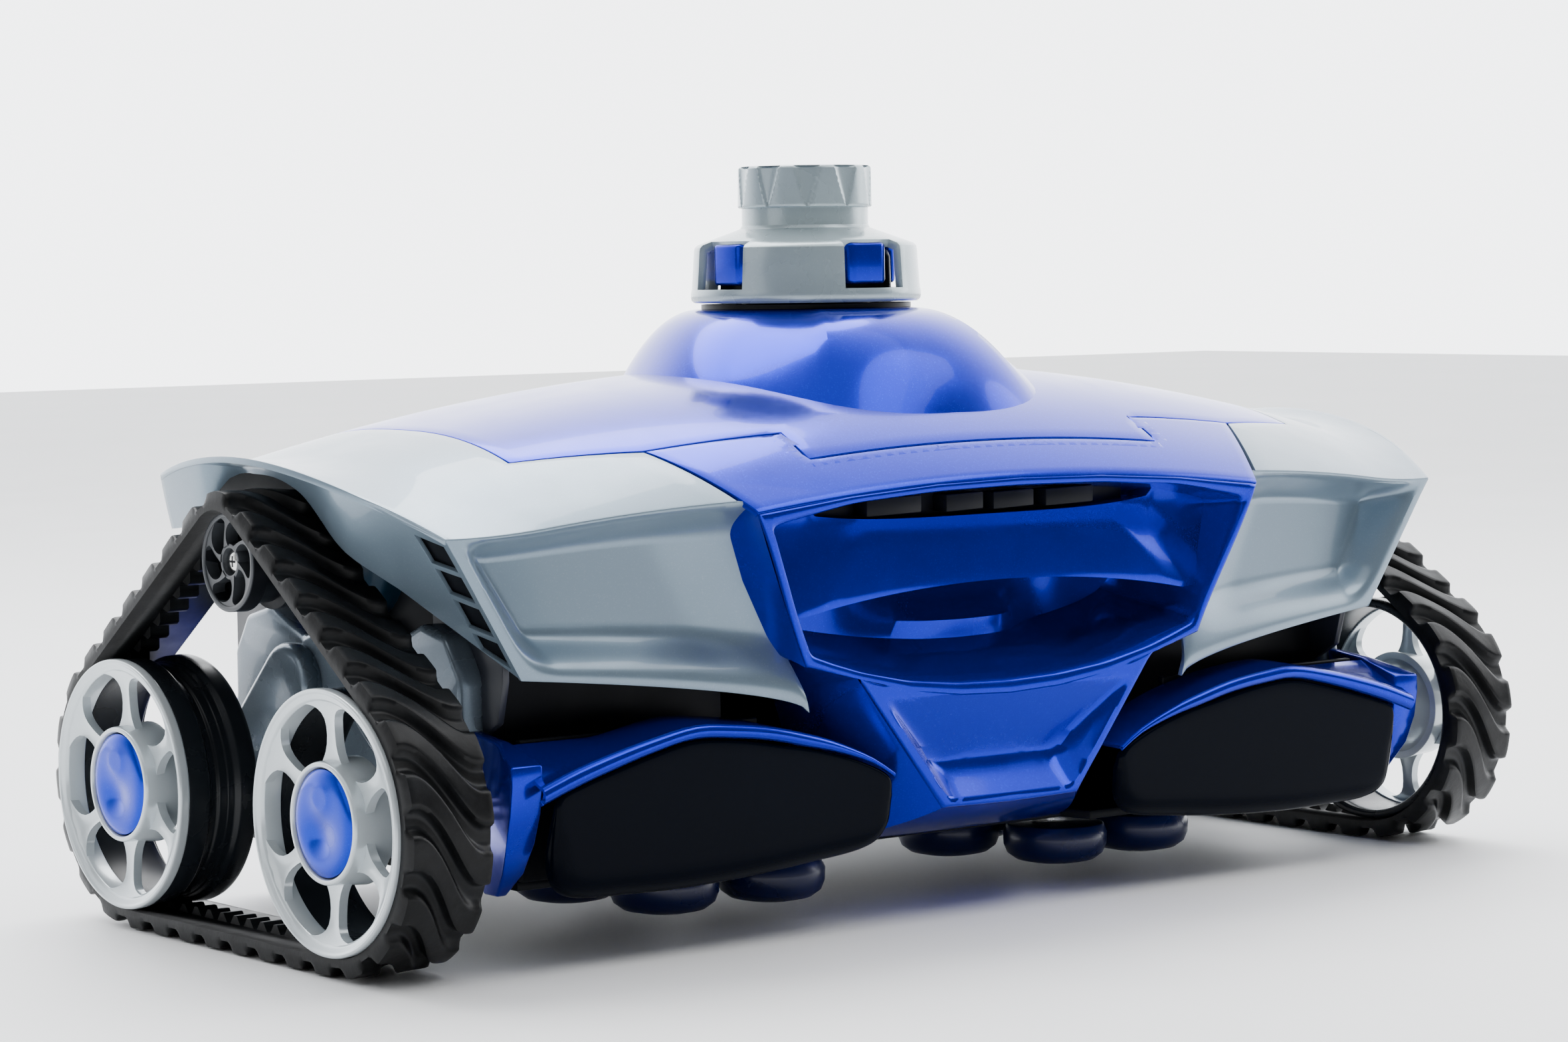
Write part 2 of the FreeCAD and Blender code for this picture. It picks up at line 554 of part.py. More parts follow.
def fender():
    """A bright fender: roof, flared side wall with the track arch and louvres, scooped front wing."""
    plan = [(125, -118.5), (238, -104), (247, -86), (254.6, -66), (259, -40), (260.5, -10), (259, 25),
            (253, 61), (205, 92), (190.5 + SEAM, 97), (190.5 + SEAM, -72.3), (143.5, -87 - SEAM)]

    def roof_point(x, y):
        general = top_z(x, y)
        reach = min(1.0, max(0.0, (x - 205) / (ridge_x(y) - 205)))
        lift = ridge_z(y) - top_z(ridge_x(y), y)
        return V(x, y, general + lift * reach ** 3)

    roof = sheet(roof_point, steps(120, 263, 13), steps(-124, 100, 15), Z * -SKIN)
    roof = roof.common(prism_z(plan, 100, 220))
    # side wall: a curved band in plan, cut to the arch seen from the side
    ys = steps(-103, 61, 9)
    band = [(ridge_x(y), y) for y in ys] + [(ridge_x(y) - SKIN, y) for y in reversed(ys)]
    wall = prism_z(band, 90, 180)
    side = [(-104, 150), (-104, 101), (-100, 101), (-70, 128), (-46, 146), (-20, 165), (0, 170), (30, 170),
            (48, 158), (56, 148), (62, 148), (62, 166)]
    side += [(y, ridge_z(y) - 0.3) for y in (50, 30, 10, -10, -30, -50, -70, -90)]
    wall = wall.common(prism_x(side, 200, 270))
    for i in range(4):
        y0, z0 = -92 - 3.4 * i, 142 - 11.0 * i
        wall = wall.cut(prism_x([(y0, z0), (y0 + 10, z0 + 1.5), (y0 + 6, z0 + 8.5), (y0 - 4, z0 + 7)], 225, 262))

    def wing_point(u, v):
        """u runs from the nose to the outer corner, v from the top edge to the bottom edge."""
        top = V(124.5 + 113.5 * u, -120.5 + 16 * u, 156.5 - 6.5 * u + 3 * u * u)
        low = V(93.2 + 114 * u, -114.5 + 12.5 * u, 81.5 + 19 * u ** 0.6 if u > 0 else 81.5)
        p = top + (low - top) * v
        scoop = 15.0 * math.sin(math.pi * min(1.0, max(0.0, v))) ** 0.7 * min(1.0, 4.5 * (1 - u)) ** 0.5
        return V(p.x, p.y + scoop, p.z)

    wing = sheet(wing_point, steps(0, 1, 11), steps(0, 1, 11), Y * SKIN)
    both_sides("fender", roof.fuse(wall).fuse(wing))


def dome(z_shift, r_shift):
    """The bulge of the cover: a quarter ellipse turned about the swivel axis."""
    rim_z = 183.0
    profile = [(0, rim_z - 20)]
    for i in range(9):
        a = math.pi / 2 * i / 8
        profile.append(((DOME_R + r_shift) * math.cos(a) ** 0.9, rim_z + (DOME_TOP + z_shift - rim_z) * math.sin(a)))
    profile[1] = (DOME_R + r_shift, rim_z)
    profile.insert(1, (DOME_R + r_shift, rim_z - 20))
    return turned_z(profile[:-1] + [(0, DOME_TOP + z_shift)])


def top_cover():
    """The blue cover with the dome; it opens on two hinges at the back."""
    outline = [(-190.5, -72), (-143, -86.6), (-85, -91.6), (-85, -107.6), (85, -107.6), (85, -91.6),
               (143, -86.6), (190.5, -72), (190.5, 96.5), (-190.5, 96.5)]
    skin = top_block(SKIN).common(prism_z(outline, 140, 260))
    under = sheet(lambda x, y: V(x, y, top_z(x, y) - SKIN), steps(-262, 262, 15), steps(-128, 122, 15), Z * -60)
    bulge = dome(0, 0).cut(dome(-SKIN, -SKIN)).cut(under)
    cover = skin.cut(dome(-SKIN, -SKIN)).fuse(bulge)
    neck = tube_z(24, 19, 160, DOME_TOP)
    cover = cover.fuse(neck).cut(rod_z(19, 150, 240))
    for x in (-HINGE_X, HINGE_X):
        for x0 in (x - 10.8, x + 5):
            cover = cover.cut(box(x0, x0 + 5.8, 91.5, 98, 170, 195))
        knuckle = rod_x(4.2, x - 5, x + 5, HINGE_Y, HINGE_Z)
        knuckle = knuckle.fuse(box(x - 5, x + 5, 88, HINGE_Y - 0.6, 179.6, HINGE_Z))
        cover = cover.fuse(knuckle).cut(rod_x(2.0 + FIT, x - 9, x + 9, HINGE_Y, HINGE_Z))
    catch = box(-30, 30, -106.5, -104, 156, 184).cut(above_top(0.5 * SKIN))
    cover = cover.fuse(catch)
    save("top_cover", cover)


def latch():
    """The dark sprung catch behind the slot of the nose."""
    body = box(-62, 62, -103.4, -100, 150, 156)
    for x in (-44, 0, 40):
        body = body.fuse(box(x - 12, x + 12, -103.4, -96, 151, 155.4))
    save("cover_latch", body)


def swivel():
    """The hose swivel: base ring, turning cowl with four windows, blue core, seal, hose nut and collet."""
    ring = turned_z([(19.6, DOME_TOP), (41, DOME_TOP), (41, 226.2), (25, 226.2), (25, 228), (19.6, 228)])
    save("swivel_base", ring)
    cowl = turned_z([(38.6, 226.6), (43.6, 226.6), (44.4, 231), (40.6, 246), (36, 249.6), (26.4, 255),
                     (24, 257), (24, 266), (21.6, 266), (21.6, 254.5), (34, 247.6), (37.6, 244.6), (39, 231)])
    window = box(30, 50, -10, 10, 231.5, 244.5)
    for w in around_z(window, 4, -99.5):
        cowl = cowl.cut(w)
    save("swivel_cowl", cowl)
    core = turned_z([(20.2, 228.6), (38.2, 228.6), (37.2, 243), (33, 246.6), (21.2, 252.9), (20.2, 252.9)])
    for w in around_z(box(34, 39, -8, 8, 232.5, 243), 4, -99.5):
        core = core.fuse(w)
    save("swivel_core", core)
    save("swivel_seal", tube_z(21.6, 20.3, 255, 265))
    nut = turned_z([(24.6, 262.6), (25.2, 262.6), (26.2, 279), (25, 280), (HOSE_BORE + 2.4, 280),
                    (HOSE_BORE + 2.4, 267), (24.6, 267)])
    for notch in around_z(rod_z(9, 264, 281, 33.4, 0), 9, 10):
        nut = nut.cut(notch)
    save("hose_nut", nut)
    collet = turned_z([(HOSE_BORE, 266), (23.6, 266), (23.6, 266.8), (HOSE_BORE + 2.0, 266.8),
                       (HOSE_BORE + 2.0, 279.4), (HOSE_BORE, 279.4)])
    save("hose_collet", collet)


def screws():
    """Short screws that hold the fenders and the shells to the lower body."""
    heads = []
    for x in (-150, 150):
        for y in (-80, 80):
            heads.append(rod_z(3.2, 24, 26, x, y).fuse(rod_z(1.7, 26, 36, x, y)))
    save("case_screws", *heads)


def main():
    track()
    wheel(-WHEEL_Y, "front")
    wheel(WHEEL_Y, "rear")
    pulley()
    engine()
    side_frame()
    lower_body()
    flaps()
    brushes()
    front_shell()
    rear_shell()
    fender()
    top_cover()
    latch()
    swivel()
    screws()
    for name, shape in nodes.items():
        shape.exportStep(os.path.join(PARTS, name + ".step"))
    print(len(nodes), "nodes", "valid" if all(s.isValid() for s in nodes.values()) else "INVALID",
          [n for n, s in nodes.items() if not s.isValid()])


main()
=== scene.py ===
"""Looks of the tracked pool cleaner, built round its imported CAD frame.

Shapes are worked out in millimetres in the CAD's frame (+Z up, -Y front, origin on the floor under the
hose swivel) and scaled to metres when a mesh is made.
"""
import json
import math

import bmesh
import bpy
import numpy as np
from mathutils import Matrix, Vector


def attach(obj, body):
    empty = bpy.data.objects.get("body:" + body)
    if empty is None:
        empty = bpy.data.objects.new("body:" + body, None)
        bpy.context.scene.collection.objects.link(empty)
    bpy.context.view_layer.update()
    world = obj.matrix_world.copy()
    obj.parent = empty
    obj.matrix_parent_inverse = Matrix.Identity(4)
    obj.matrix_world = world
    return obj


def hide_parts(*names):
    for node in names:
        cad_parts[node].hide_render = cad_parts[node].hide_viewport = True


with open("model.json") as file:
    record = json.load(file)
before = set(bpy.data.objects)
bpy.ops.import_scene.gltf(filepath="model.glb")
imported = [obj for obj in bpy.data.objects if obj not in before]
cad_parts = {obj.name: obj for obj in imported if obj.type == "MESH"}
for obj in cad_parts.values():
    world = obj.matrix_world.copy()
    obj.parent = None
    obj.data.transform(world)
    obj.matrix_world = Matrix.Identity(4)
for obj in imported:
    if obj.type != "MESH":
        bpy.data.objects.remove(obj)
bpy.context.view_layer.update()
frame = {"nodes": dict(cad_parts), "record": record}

MM = 0.001
SIDES = (("left", -1), ("right", 1))

# ---------------------------------------------------------------- driving dimensions, in mm
WHEEL_Y, WHEEL_Z, WHEEL_R, WHEEL_FACE = 71.4, 54.0, 46.3, 270.0
CAP_R, CAP_OUT, SPOKES = 18.6, 270.9, 6
PULLEY_Z, PULLEY_R, PULLEY_FACE = 139.5, 18.2, 262.6
TRACK_IN, TRACK_OUT = 234.0, 268.0
TRACK_MID = (TRACK_IN + TRACK_OUT) / 2
BAND, LUG, TOOTH, BELT_GAP, LUGS, TEETH = 2.8, 4.5, 3.2, 0.4, 33, 66
CROWN, SIDE_FALL, END_FALL, END_Y, END_POWER = 203.0, 5.3e-4, 40.5, 126.4, 2.5
SKIN, SEAM = 2.6, 0.6
COVER_X, COVER_FRONT, COVER_REAR = 190.5, -91.6, 96.5
TONGUE_X, TONGUE_Y, SHOULDER_X = 85.0, -107.6, 143.0
HINGE_X, HINGE_Y, HINGE_Z = 60, 97.0, 184.0
DOME_R, DOME_Z, DOME_RIDGE = 41.0, 224.4, 32.0
NOSE_X, NOSE_Y, NOSE_BACK_X = 121.6, -125.8, 142.4
SIDE_FRONT, SIDE_REAR = -72.2, 60.0
BROW_IN, SEAM_CORNER = (126.6, -119.6), (143.4, -87.4)
FLAP_Y, HOOD_Y = -118.9, -118.7
NUT_LOW, NUT_HIGH, NUT_R = 263.4, 279.4, 25.9
BRUSH_X, BRUSH_Y, FEET, FEET_R = 92.0, -30.0, 5, 40
TAIL_Y = 119.6


# ---------------------------------------------------------------- mesh helpers
def face_outward(mesh):
    """Turns the faces of every closed island outward."""
    work = bmesh.new()
    work.from_mesh(mesh)
    seen = set()
    for start in work.faces:
        if start in seen:
            continue
        seen.add(start)
        island, closed = [start], True
        for face in island:
            for edge in face.edges:
                closed = closed and len(edge.link_faces) == 2
                for other in edge.link_faces:
                    if other not in seen:
                        seen.add(other)
                        island.append(other)
        if closed:
            bmesh.ops.recalc_face_normals(work, faces=island)
    work.to_mesh(mesh)
    work.free()


def finish_mesh(obj, angle):
    """Applies the modifiers and shades smooth, with edges sharper than angle kept."""
    graph = bpy.context.evaluated_depsgraph_get()
    graph.update()
    mesh = bpy.data.meshes.new_from_object(obj.evaluated_get(graph))
    obj.modifiers.clear()
    old = obj.data
    obj.data = mesh
    bpy.data.meshes.remove(old)
    mesh.name = obj.name
    face_outward(mesh)
    mesh.shade_smooth()
    mesh.set_sharp_from_angle(angle=math.radians(angle))


class Shape:
    """Collects points and faces of one piece, in mm."""

    def __init__(self):
        self.verts, self.faces = [], []

    def grid(self, point, us, vs, close_u=False, close_v=False, skip=None, flip=False):
        """Quads over point(u, v); skip(i, j) leaves a cell out."""
        start = len(self.verts)
        nu, nv = len(us), len(vs)
        self.verts += [tuple(point(u, v)) for u in us for v in vs]
        for i in range(nu if close_u else nu - 1):
            for j in range(nv if close_v else nv - 1):
                if skip and skip(i, j):
                    continue
                i2, j2 = (i + 1) % nu, (j + 1) % nv
                face = [start + i * nv + j, start + i2 * nv + j, start + i2 * nv + j2, start + i * nv + j2]
                self.faces.append(face[::-1] if flip else face)

    def both_sides(self, point, us, vs, flip=False):
        """The same grid on the left and, mirrored, on the right."""
        for sign in (-1, 1):
            def placed(u, v, sign=sign):
                x, y, z = point(u, v)
                return sign * x, y, z
            self.grid(placed, us, vs, flip=flip != (sign > 0))

    def fan(self, loop):
        """One many-sided face."""
        start = len(self.verts)
        self.verts += loop
        self.faces.append(list(range(start, start + len(loop))))

    def prism(self, outline, to3d, low, high):
        """Extrudes an outline of (a, b) from low to high; to3d(a, b, c) gives the point."""
        n = len(outline)
        start = len(self.verts)
        for c in (low, high):
            self.verts += [tuple(to3d(a, b, c)) for a, b in outline]
        self.faces.append([start + i for i in range(n)][::-1])
        self.faces.append([start + n + i for i in range(n)])
        for i in range(n):
            j = (i + 1) % n
            self.faces.append([start + i, start + j, start + n + j, start + n + i])

    def turned(self, profile, to3d, segments, closed=True):
        """Turns a profile of (radius, height) round an axis; to3d(a, b, c) with c along the axis."""
        def point(a, k):
            r, height = profile[k]
            return to3d(r * math.cos(a), r * math.sin(a), height)
        self.grid(point, circle(segments), range(len(profile)), close_u=True, close_v=closed)

    def mirror_x(self):
        """Mirrors everything collected so far to the other side."""
        self.verts = [(-x, y, z) for x, y, z in self.verts]
        self.faces = [f[::-1] for f in self.faces]

    def add(self, other):
        start = len(self.verts)
        self.verts += other.verts
        self.faces += [[start + i for i in f] for f in other.faces]

    def object(self, name, material):
        mesh = bpy.data.meshes.new(name)
        mesh.from_pydata([(x * MM, y * MM, z * MM) for x, y, z in self.verts], [], self.faces)
        mesh.materials.append(material)
        mesh.validate()
        obj = bpy.data.objects.new(name, mesh)
        bpy.context.scene.collection.objects.link(obj)
        return obj

    def piece(self, name, material, body, slot, *replaced, merge=0.0, wall=0.0, edge=None, smooth=32.0):
        """Makes a piece that rides on body and stands for the replaced nodes.

        merge welds points that near, wall thickens a skin inwards, edge is a bevel's width, steps and
        least angle, and smooth is the angle above which an edge stays sharp.
        """
        obj = self.object(name, material)
        if merge:
            obj.modifiers.new("weld", "WELD").merge_threshold = merge * MM
        if wall:
            m = obj.modifiers.new("solid", "SOLIDIFY")
            m.thickness, m.offset, m.use_even_offset = wall * MM, -1.0, True
        if edge:
            width, steps, angle = (*edge, 30.0)[:3]
            m = obj.modifiers.new("bevel", "BEVEL")
            m.width, m.segments = width * MM, steps
            m.limit_method, m.angle_limit = "ANGLE", math.radians(angle)
        finish_mesh(obj, smooth)
        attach(obj, body)
        if replaced:
            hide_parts(*replaced)


def lin(a, b, n):
    return [a + (b - a) * i / (n - 1) for i in range(n)]


def circle(n):
    return [2 * math.pi * i / n for i in range(n)]


def along_x(sign, cy=0.0, cz=0.0):
    """A frame whose axis is X through (cy, cz), on one side of the cleaner."""
    return lambda a, b, c: (sign * c, cy + a, cz + b)


def along_y(a, b, c):
    return (a, c, b)


def upright(a, b, c):
    return (a, b, c)


def about_z(r, degrees, z):
    """A point round the swivel's axis, at 0 degrees in front of it."""
    a = math.radians(degrees)
    return r * math.sin(a), -r * math.cos(a), z


def smooth(t):
    t = min(1.0, max(0.0, t))
    return t * t * (3 - 2 * t)


def between(a, b, t):
    return [p + (q - p) * t for p, q in zip(a, b)]


def bent(a, lean, b, t):
    """A point on the arc from a to b that leans towards lean."""
    return [(1 - t) ** 2 * p + 2 * t * (1 - t) * m + t * t * q for p, m, q in zip(a, lean, b)]


def rounded(points, r=0.8, n=3):
    """Rounds the corners of a closed profile a little, so that edges catch the light."""
    out = []
    for i, corner in enumerate(points):
        p = np.array(corner, float)
        a, b = np.array(points[i - 1]) - p, np.array(points[(i + 1) % len(points)]) - p
        la, lb = np.hypot(*a), np.hypot(*b)
        d = min(r, la * 0.45, lb * 0.45)
        out += [bent(p + a / la * d, p, p + b / lb * d, k / n) for k in range(n + 1)]
    return out


def curve(knots):
    """A smooth line through (position, value, value...) knots, as a function of position."""
    xs = [k[0] for k in knots]
    rows = [k[1:] for k in knots]
    slopes = []
    for i in range(len(knots)):
        a, b = max(0, i - 1), min(len(knots) - 1, i + 1)
        slopes.append([(q - p) / (xs[b] - xs[a]) for p, q in zip(rows[a], rows[b])])

    def at(x):
        x = min(xs[-1], max(xs[0], x))
        i = 0
        while i < len(xs) - 2 and x > xs[i + 1]:
            i += 1
        h = xs[i + 1] - xs[i]
        t = (x - xs[i]) / h
        out = [p * (1 + 2 * t) * (1 - t) ** 2 + q * t * t * (3 - 2 * t)
               + mp * h * t * (1 - t) ** 2 - mq * h * t * t * (1 - t)
               for p, q, mp, mq in zip(rows[i], rows[i + 1], slopes[i], slopes[i + 1])]
        return out if len(out) > 1 else out[0]
    return at


def inside(points, outline):
    """Signed distance of each point to a closed outline, positive inside."""
    p = np.asarray(points, float)
    a = np.asarray(outline, float)
    best = np.full(len(p), 1e9)
    odd = np.zeros(len(p), bool)
    for (ax, ay), (bx, by) in zip(a, np.roll(a, -1, axis=0)):
        d = np.array([bx - ax, by - ay])
        t = np.clip(((p - (ax, ay)) @ d) / (d @ d), 0, 1)
        best = np.minimum(best, np.hypot(p[:, 0] - ax - t * d[0], p[:, 1] - ay - t * d[1]))
        if ay != by:
            crosses = (p[:, 1] > ay) != (p[:, 1] > by)
            odd ^= crosses & (p[:, 0] < (bx - ax) * (p[:, 1] - ay) / (by - ay) + ax)
    return np.where(odd, best, -best)


# ---------------------------------------------------------------- materials
class Nodes:
    """A short way to build a node material on the Principled shader."""

    def __init__(self, name):
        self.material = bpy.data.materials.new(name)
        self.material.use_nodes = True
        self.tree = self.material.node_tree
        self.shader = self.tree.nodes["Principled BSDF"]
        self.place = self.tree.nodes.new("ShaderNodeTexCoord").outputs["Object"]

    def link(self, a, b):
        self.tree.links.new(a, b)

    def texture(self, kind, output, **values):
        """A texture in object space."""
        node = self.tree.nodes.new(kind)
        for key, value in values.items():
            node.inputs[key].default_value = value
        self.link(self.place, node.inputs["Vector"])
        return node.outputs[output]

    def noise(self, scale, detail=3.0, roughness=0.5):
        return self.texture("ShaderNodeTexNoise", "Fac", Scale=scale, Detail=detail, Roughness=roughness)

    def ramp(self, value, *stops):
        """Turns a value into a colour, or a grey where a stop holds a number."""
        node = self.tree.nodes.new("ShaderNodeValToRGB")
        elements = node.color_ramp.elements
        while len(elements) < len(stops):
            elements.new(0.5)
        for element, (at, colour) in zip(elements, stops):
            element.position = at
            element.color = (*colour, 1.0) if isinstance(colour, tuple) else (colour,) * 3 + (1.0,)
        self.link(value, node.inputs["Fac"])
        return node.outputs["Color"]

    def mix(self, factor, a, b):
        node = self.tree.nodes.new("ShaderNodeMix")
        node.data_type = "RGBA"
        colour_a, colour_b = node.inputs[6], node.inputs[7]
        self.link(factor, node.inputs[0])
        for socket, value in ((colour_a, a), (colour_b, b)):
            if isinstance(value, tuple):
                socket.default_value = (*value, 1.0)
            else:
                self.link(value, socket)
        return node.outputs[2]

    def finish(self, colour, rough, height, strength, distance, **values):
        """Joins colour, roughness and bump to the shader and sets its plain numbers."""
        self.link(colour, self.shader.inputs["Base Color"])
        self.link(rough, self.shader.inputs["Roughness"])
        bump = self.tree.nodes.new("ShaderNodeBump")
        bump.inputs["Strength"].default_value = strength
        bump.inputs["Distance"].default_value = distance * MM
        self.link(height, bump.inputs["Height"])
        self.link(bump.outputs["Normal"], self.shader.inputs["Normal"])
        for key, value in values.items():
            self.shader.inputs[key.replace("_", " ")].default_value = value
        return self.material


def flake_paint(name, deep, light, flake, metallic, rough, coat, shine=0.30):
    """Moulded plastic with metallic pigment: fine flakes under a glossy skin."""
    m = Nodes(name)
    cells = m.texture("ShaderNodeTexVoronoi", "Color", Scale=2600.0)
    flakes = m.ramp(cells, (0.0, 0.0), (0.74, 0.0), (1.0, 0.35))
    colour = m.mix(flakes, m.mix(m.noise(9.0), deep, light), flake)
    roughness = m.ramp(m.noise(60.0), (0.3, rough - 0.03), (0.7, rough + 0.04))
    return m.finish(colour, roughness, m.noise(900.0, 2.0), 0.03, 0.03, Metallic=metallic, Coat_Weight=coat,
                    Coat_Roughness=0.04, IOR=1.45, Specular_IOR_Level=shine)


def moulded(name, dark, light, rough, metallic=0.0, grain=420.0, depth=0.08, coat=0.0, shine=0.4):
    """Plain moulded plastic or cast metal with a fine grain."""
    m = Nodes(name)
    colour = m.ramp(m.noise(14.0, 5.0), (0.3, dark), (0.7, light))
    roughness = m.ramp(m.noise(45.0, 4.0), (0.3, rough - 0.06), (0.7, rough + 0.08))
    return m.finish(colour, roughness, m.noise(grain, 3.0), 0.18, depth, Metallic=metallic, Coat_Weight=coat,
                    Coat_Roughness=0.06, Specular_IOR_Level=shine)


def rubber_dusty_lighter_edges(name):
    """Black rubber, dusty grey in patches and lighter along its edges."""
    m = Nodes(name)
    dust = m.ramp(m.noise(38.0, 8.0, 0.65), (0.46, 0.0), (0.72, 1.0))
    pointed = m.tree.nodes.new("ShaderNodeNewGeometry").outputs["Pointiness"]
    # lighter along convex edges, read from pointiness
    edges = m.ramp(pointed, (0.50, 0.0), (0.60, 1.0))
    base = m.mix(m.noise(120.0, 4.0), (0.0012, 0.0014, 0.0018), (0.0032, 0.0035, 0.0042))
    colour = m.mix(edges, m.mix(dust, base, (0.0105, 0.0115, 0.0135)), (0.022, 0.024, 0.027))
    roughness = m.ramp(m.noise(70.0, 5.0), (0.3, 0.34), (0.7, 0.48))
    return m.finish(colour, roughness, m.noise(260.0, 6.0, 0.6), 0.35, 0.35, IOR=1.5, Specular_IOR_Level=0.20)


BLUE = flake_paint("blue_flake", (0.0002, 0.0075, 0.36), (0.0005, 0.011, 0.48), (0.01, 0.06, 0.90),
                   0.72, 0.17, 0.20, 0.12)
BLUE_BODY = flake_paint("blue_body_flake", (0.0, 0.0055, 0.24), (0.0002, 0.0075, 0.32), (0.01, 0.03, 0.55),
                        0.6, 0.26, 0.08, 0.10)
SILVER = flake_paint("silver_flake", (0.18, 0.245, 0.305), (0.20, 0.27, 0.335), (0.30, 0.37, 0.43),
                     0.5, 0.31, 0.4)
FRAME_SILVER = flake_paint("frame_flake", (0.13, 0.17, 0.21), (0.16, 0.20, 0.245), (0.27, 0.31, 0.35),
                           0.5, 0.28, 0.4)
WHEEL_SILVER = flake_paint("wheel_flake", (0.60, 0.66, 0.69), (0.65, 0.71, 0.74), (0.74, 0.78, 0.80),
                           0.3, 0.22, 0.4)
SWIVEL_SILVER = flake_paint("swivel_flake", (0.31, 0.39, 0.42), (0.36, 0.44, 0.47), (0.48, 0.54, 0.57),
                            0.35, 0.27, 0.45)
CAP_BLUE = flake_paint("cap_flake", (0.0, 0.022, 0.42), (0.001, 0.03, 0.52), (0.02, 0.10, 0.75),
                       0.6, 0.16, 0.15, 0.12)
PANEL = moulded("panel_gloss", (0.0008, 0.0018, 0.005), (0.001, 0.0024, 0.0065), 0.10, grain=30.0,
                depth=0.01, shine=0.035)
DARK = moulded("dark_plastic", (0.004, 0.005, 0.007), (0.008, 0.009, 0.012), 0.38, shine=0.10)
DRUM = moulded("drum_plastic", (0.006, 0.008, 0.011), (0.012, 0.015, 0.019), 0.27, shine=0.25)
PULLEY_GREY = moulded("pulley_plastic", (0.030, 0.034, 0.040), (0.055, 0.060, 0.068), 0.34)
ENGINE = moulded("engine_plastic", (0.006, 0.008, 0.012), (0.012, 0.015, 0.020), 0.45, shine=0.2)
# painted shade: a dark grey that stands for the silver skirt lying in the fender's shadow
SHADE = moulded("skirt_painted_shade", (0.018, 0.021, 0.030), (0.030, 0.034, 0.046), 0.36)
TEAL = moulded("gear_cover_plastic", (0.006, 0.026, 0.050), (0.009, 0.036, 0.068), 0.35)
SEAL = moulded("seal_rubber", (0.008, 0.008, 0.009), (0.018, 0.018, 0.020), 0.6)
FOOT = moulded("foot_rubber", (0.002, 0.006, 0.05), (0.003, 0.010, 0.08), 0.30, coat=0.15)
STEEL = moulded("bright_steel", (0.60, 0.60, 0.58), (0.74, 0.74, 0.72), 0.20, metallic=1.0, grain=240.0,
                depth=0.02)
RUBBER = rubber_dusty_lighter_edges("belt_rubber")


# ---------------------------------------------------------------- the top surface
def top_z(x, y):
    return CROWN - SIDE_FALL * x * x - END_FALL * (abs(y) / END_Y) ** END_POWER


def on_top(x, y, sunk=0.0):
    return x, y, top_z(x, y) - sunk


def ridge(y):
    """The flared outer edge of a fender: (x, z) at y."""
    k = abs(y / 101.0)
    return 261.0 - 20.0 * k ** 2.4, 176.7 - 23.9 * k ** 2


# ---------------------------------------------------------------- belts
REACH = math.hypot(WHEEL_Y, PULLEY_Z - WHEEL_Z)
RUN = math.sqrt(REACH ** 2 - (WHEEL_R - PULLEY_R) ** 2)
WRAP = math.atan2(PULLEY_Z - WHEEL_Z, WHEEL_Y) - math.asin((WHEEL_R - PULLEY_R) / REACH)
ARC = (math.pi - WRAP) * WHEEL_R
SPANS = [WHEEL_Y, ARC, RUN, 2 * WRAP * PULLEY_R, RUN, ARC, WHEEL_Y]


def belt_point(s, offset):
    """(y, z) of the belt line, s from 0 to 1 round the loop from the bottom centre, offset outwards."""
    at = (s % 1.0) * sum(SPANS)
    k = 0
    while k < 6 and at > SPANS[k]:
        at -= SPANS[k]
        k += 1

    def on(cy, cz, r, turn):
        return cy + (r + offset) * math.sin(turn), cz - (r + offset) * math.cos(turn)

    if k in (0, 6):
        return (at if k == 0 else at - WHEEL_Y), WHEEL_Z - WHEEL_R - offset
    if k == 1:
        return on(WHEEL_Y, WHEEL_Z, WHEEL_R, at / WHEEL_R)
    if k == 3:
        return on(0.0, PULLEY_Z, PULLEY_R, math.pi - WRAP + at / PULLEY_R)
    if k == 5:
        return on(-WHEEL_Y, WHEEL_Z, WHEEL_R, math.pi + WRAP + at / WHEEL_R)
    rising = k == 2
    turn = math.pi - WRAP if rising else math.pi + WRAP
    wheel = on(WHEEL_Y if rising else -WHEEL_Y, WHEEL_Z, WHEEL_R, turn)
    pulley = on(0.0, PULLEY_Z, PULLEY_R, turn)
    return between(wheel, pulley, at / RUN) if rising else between(pulley, wheel, at / RUN)


def pulse(phase, width, edge):
    """1 in the middle of a period, 0 at its ends, with soft edges."""
    d = abs((phase % 1.0) - 0.5)
    return 1.0 - smooth((d - width / 2 + edge / 2) / edge)


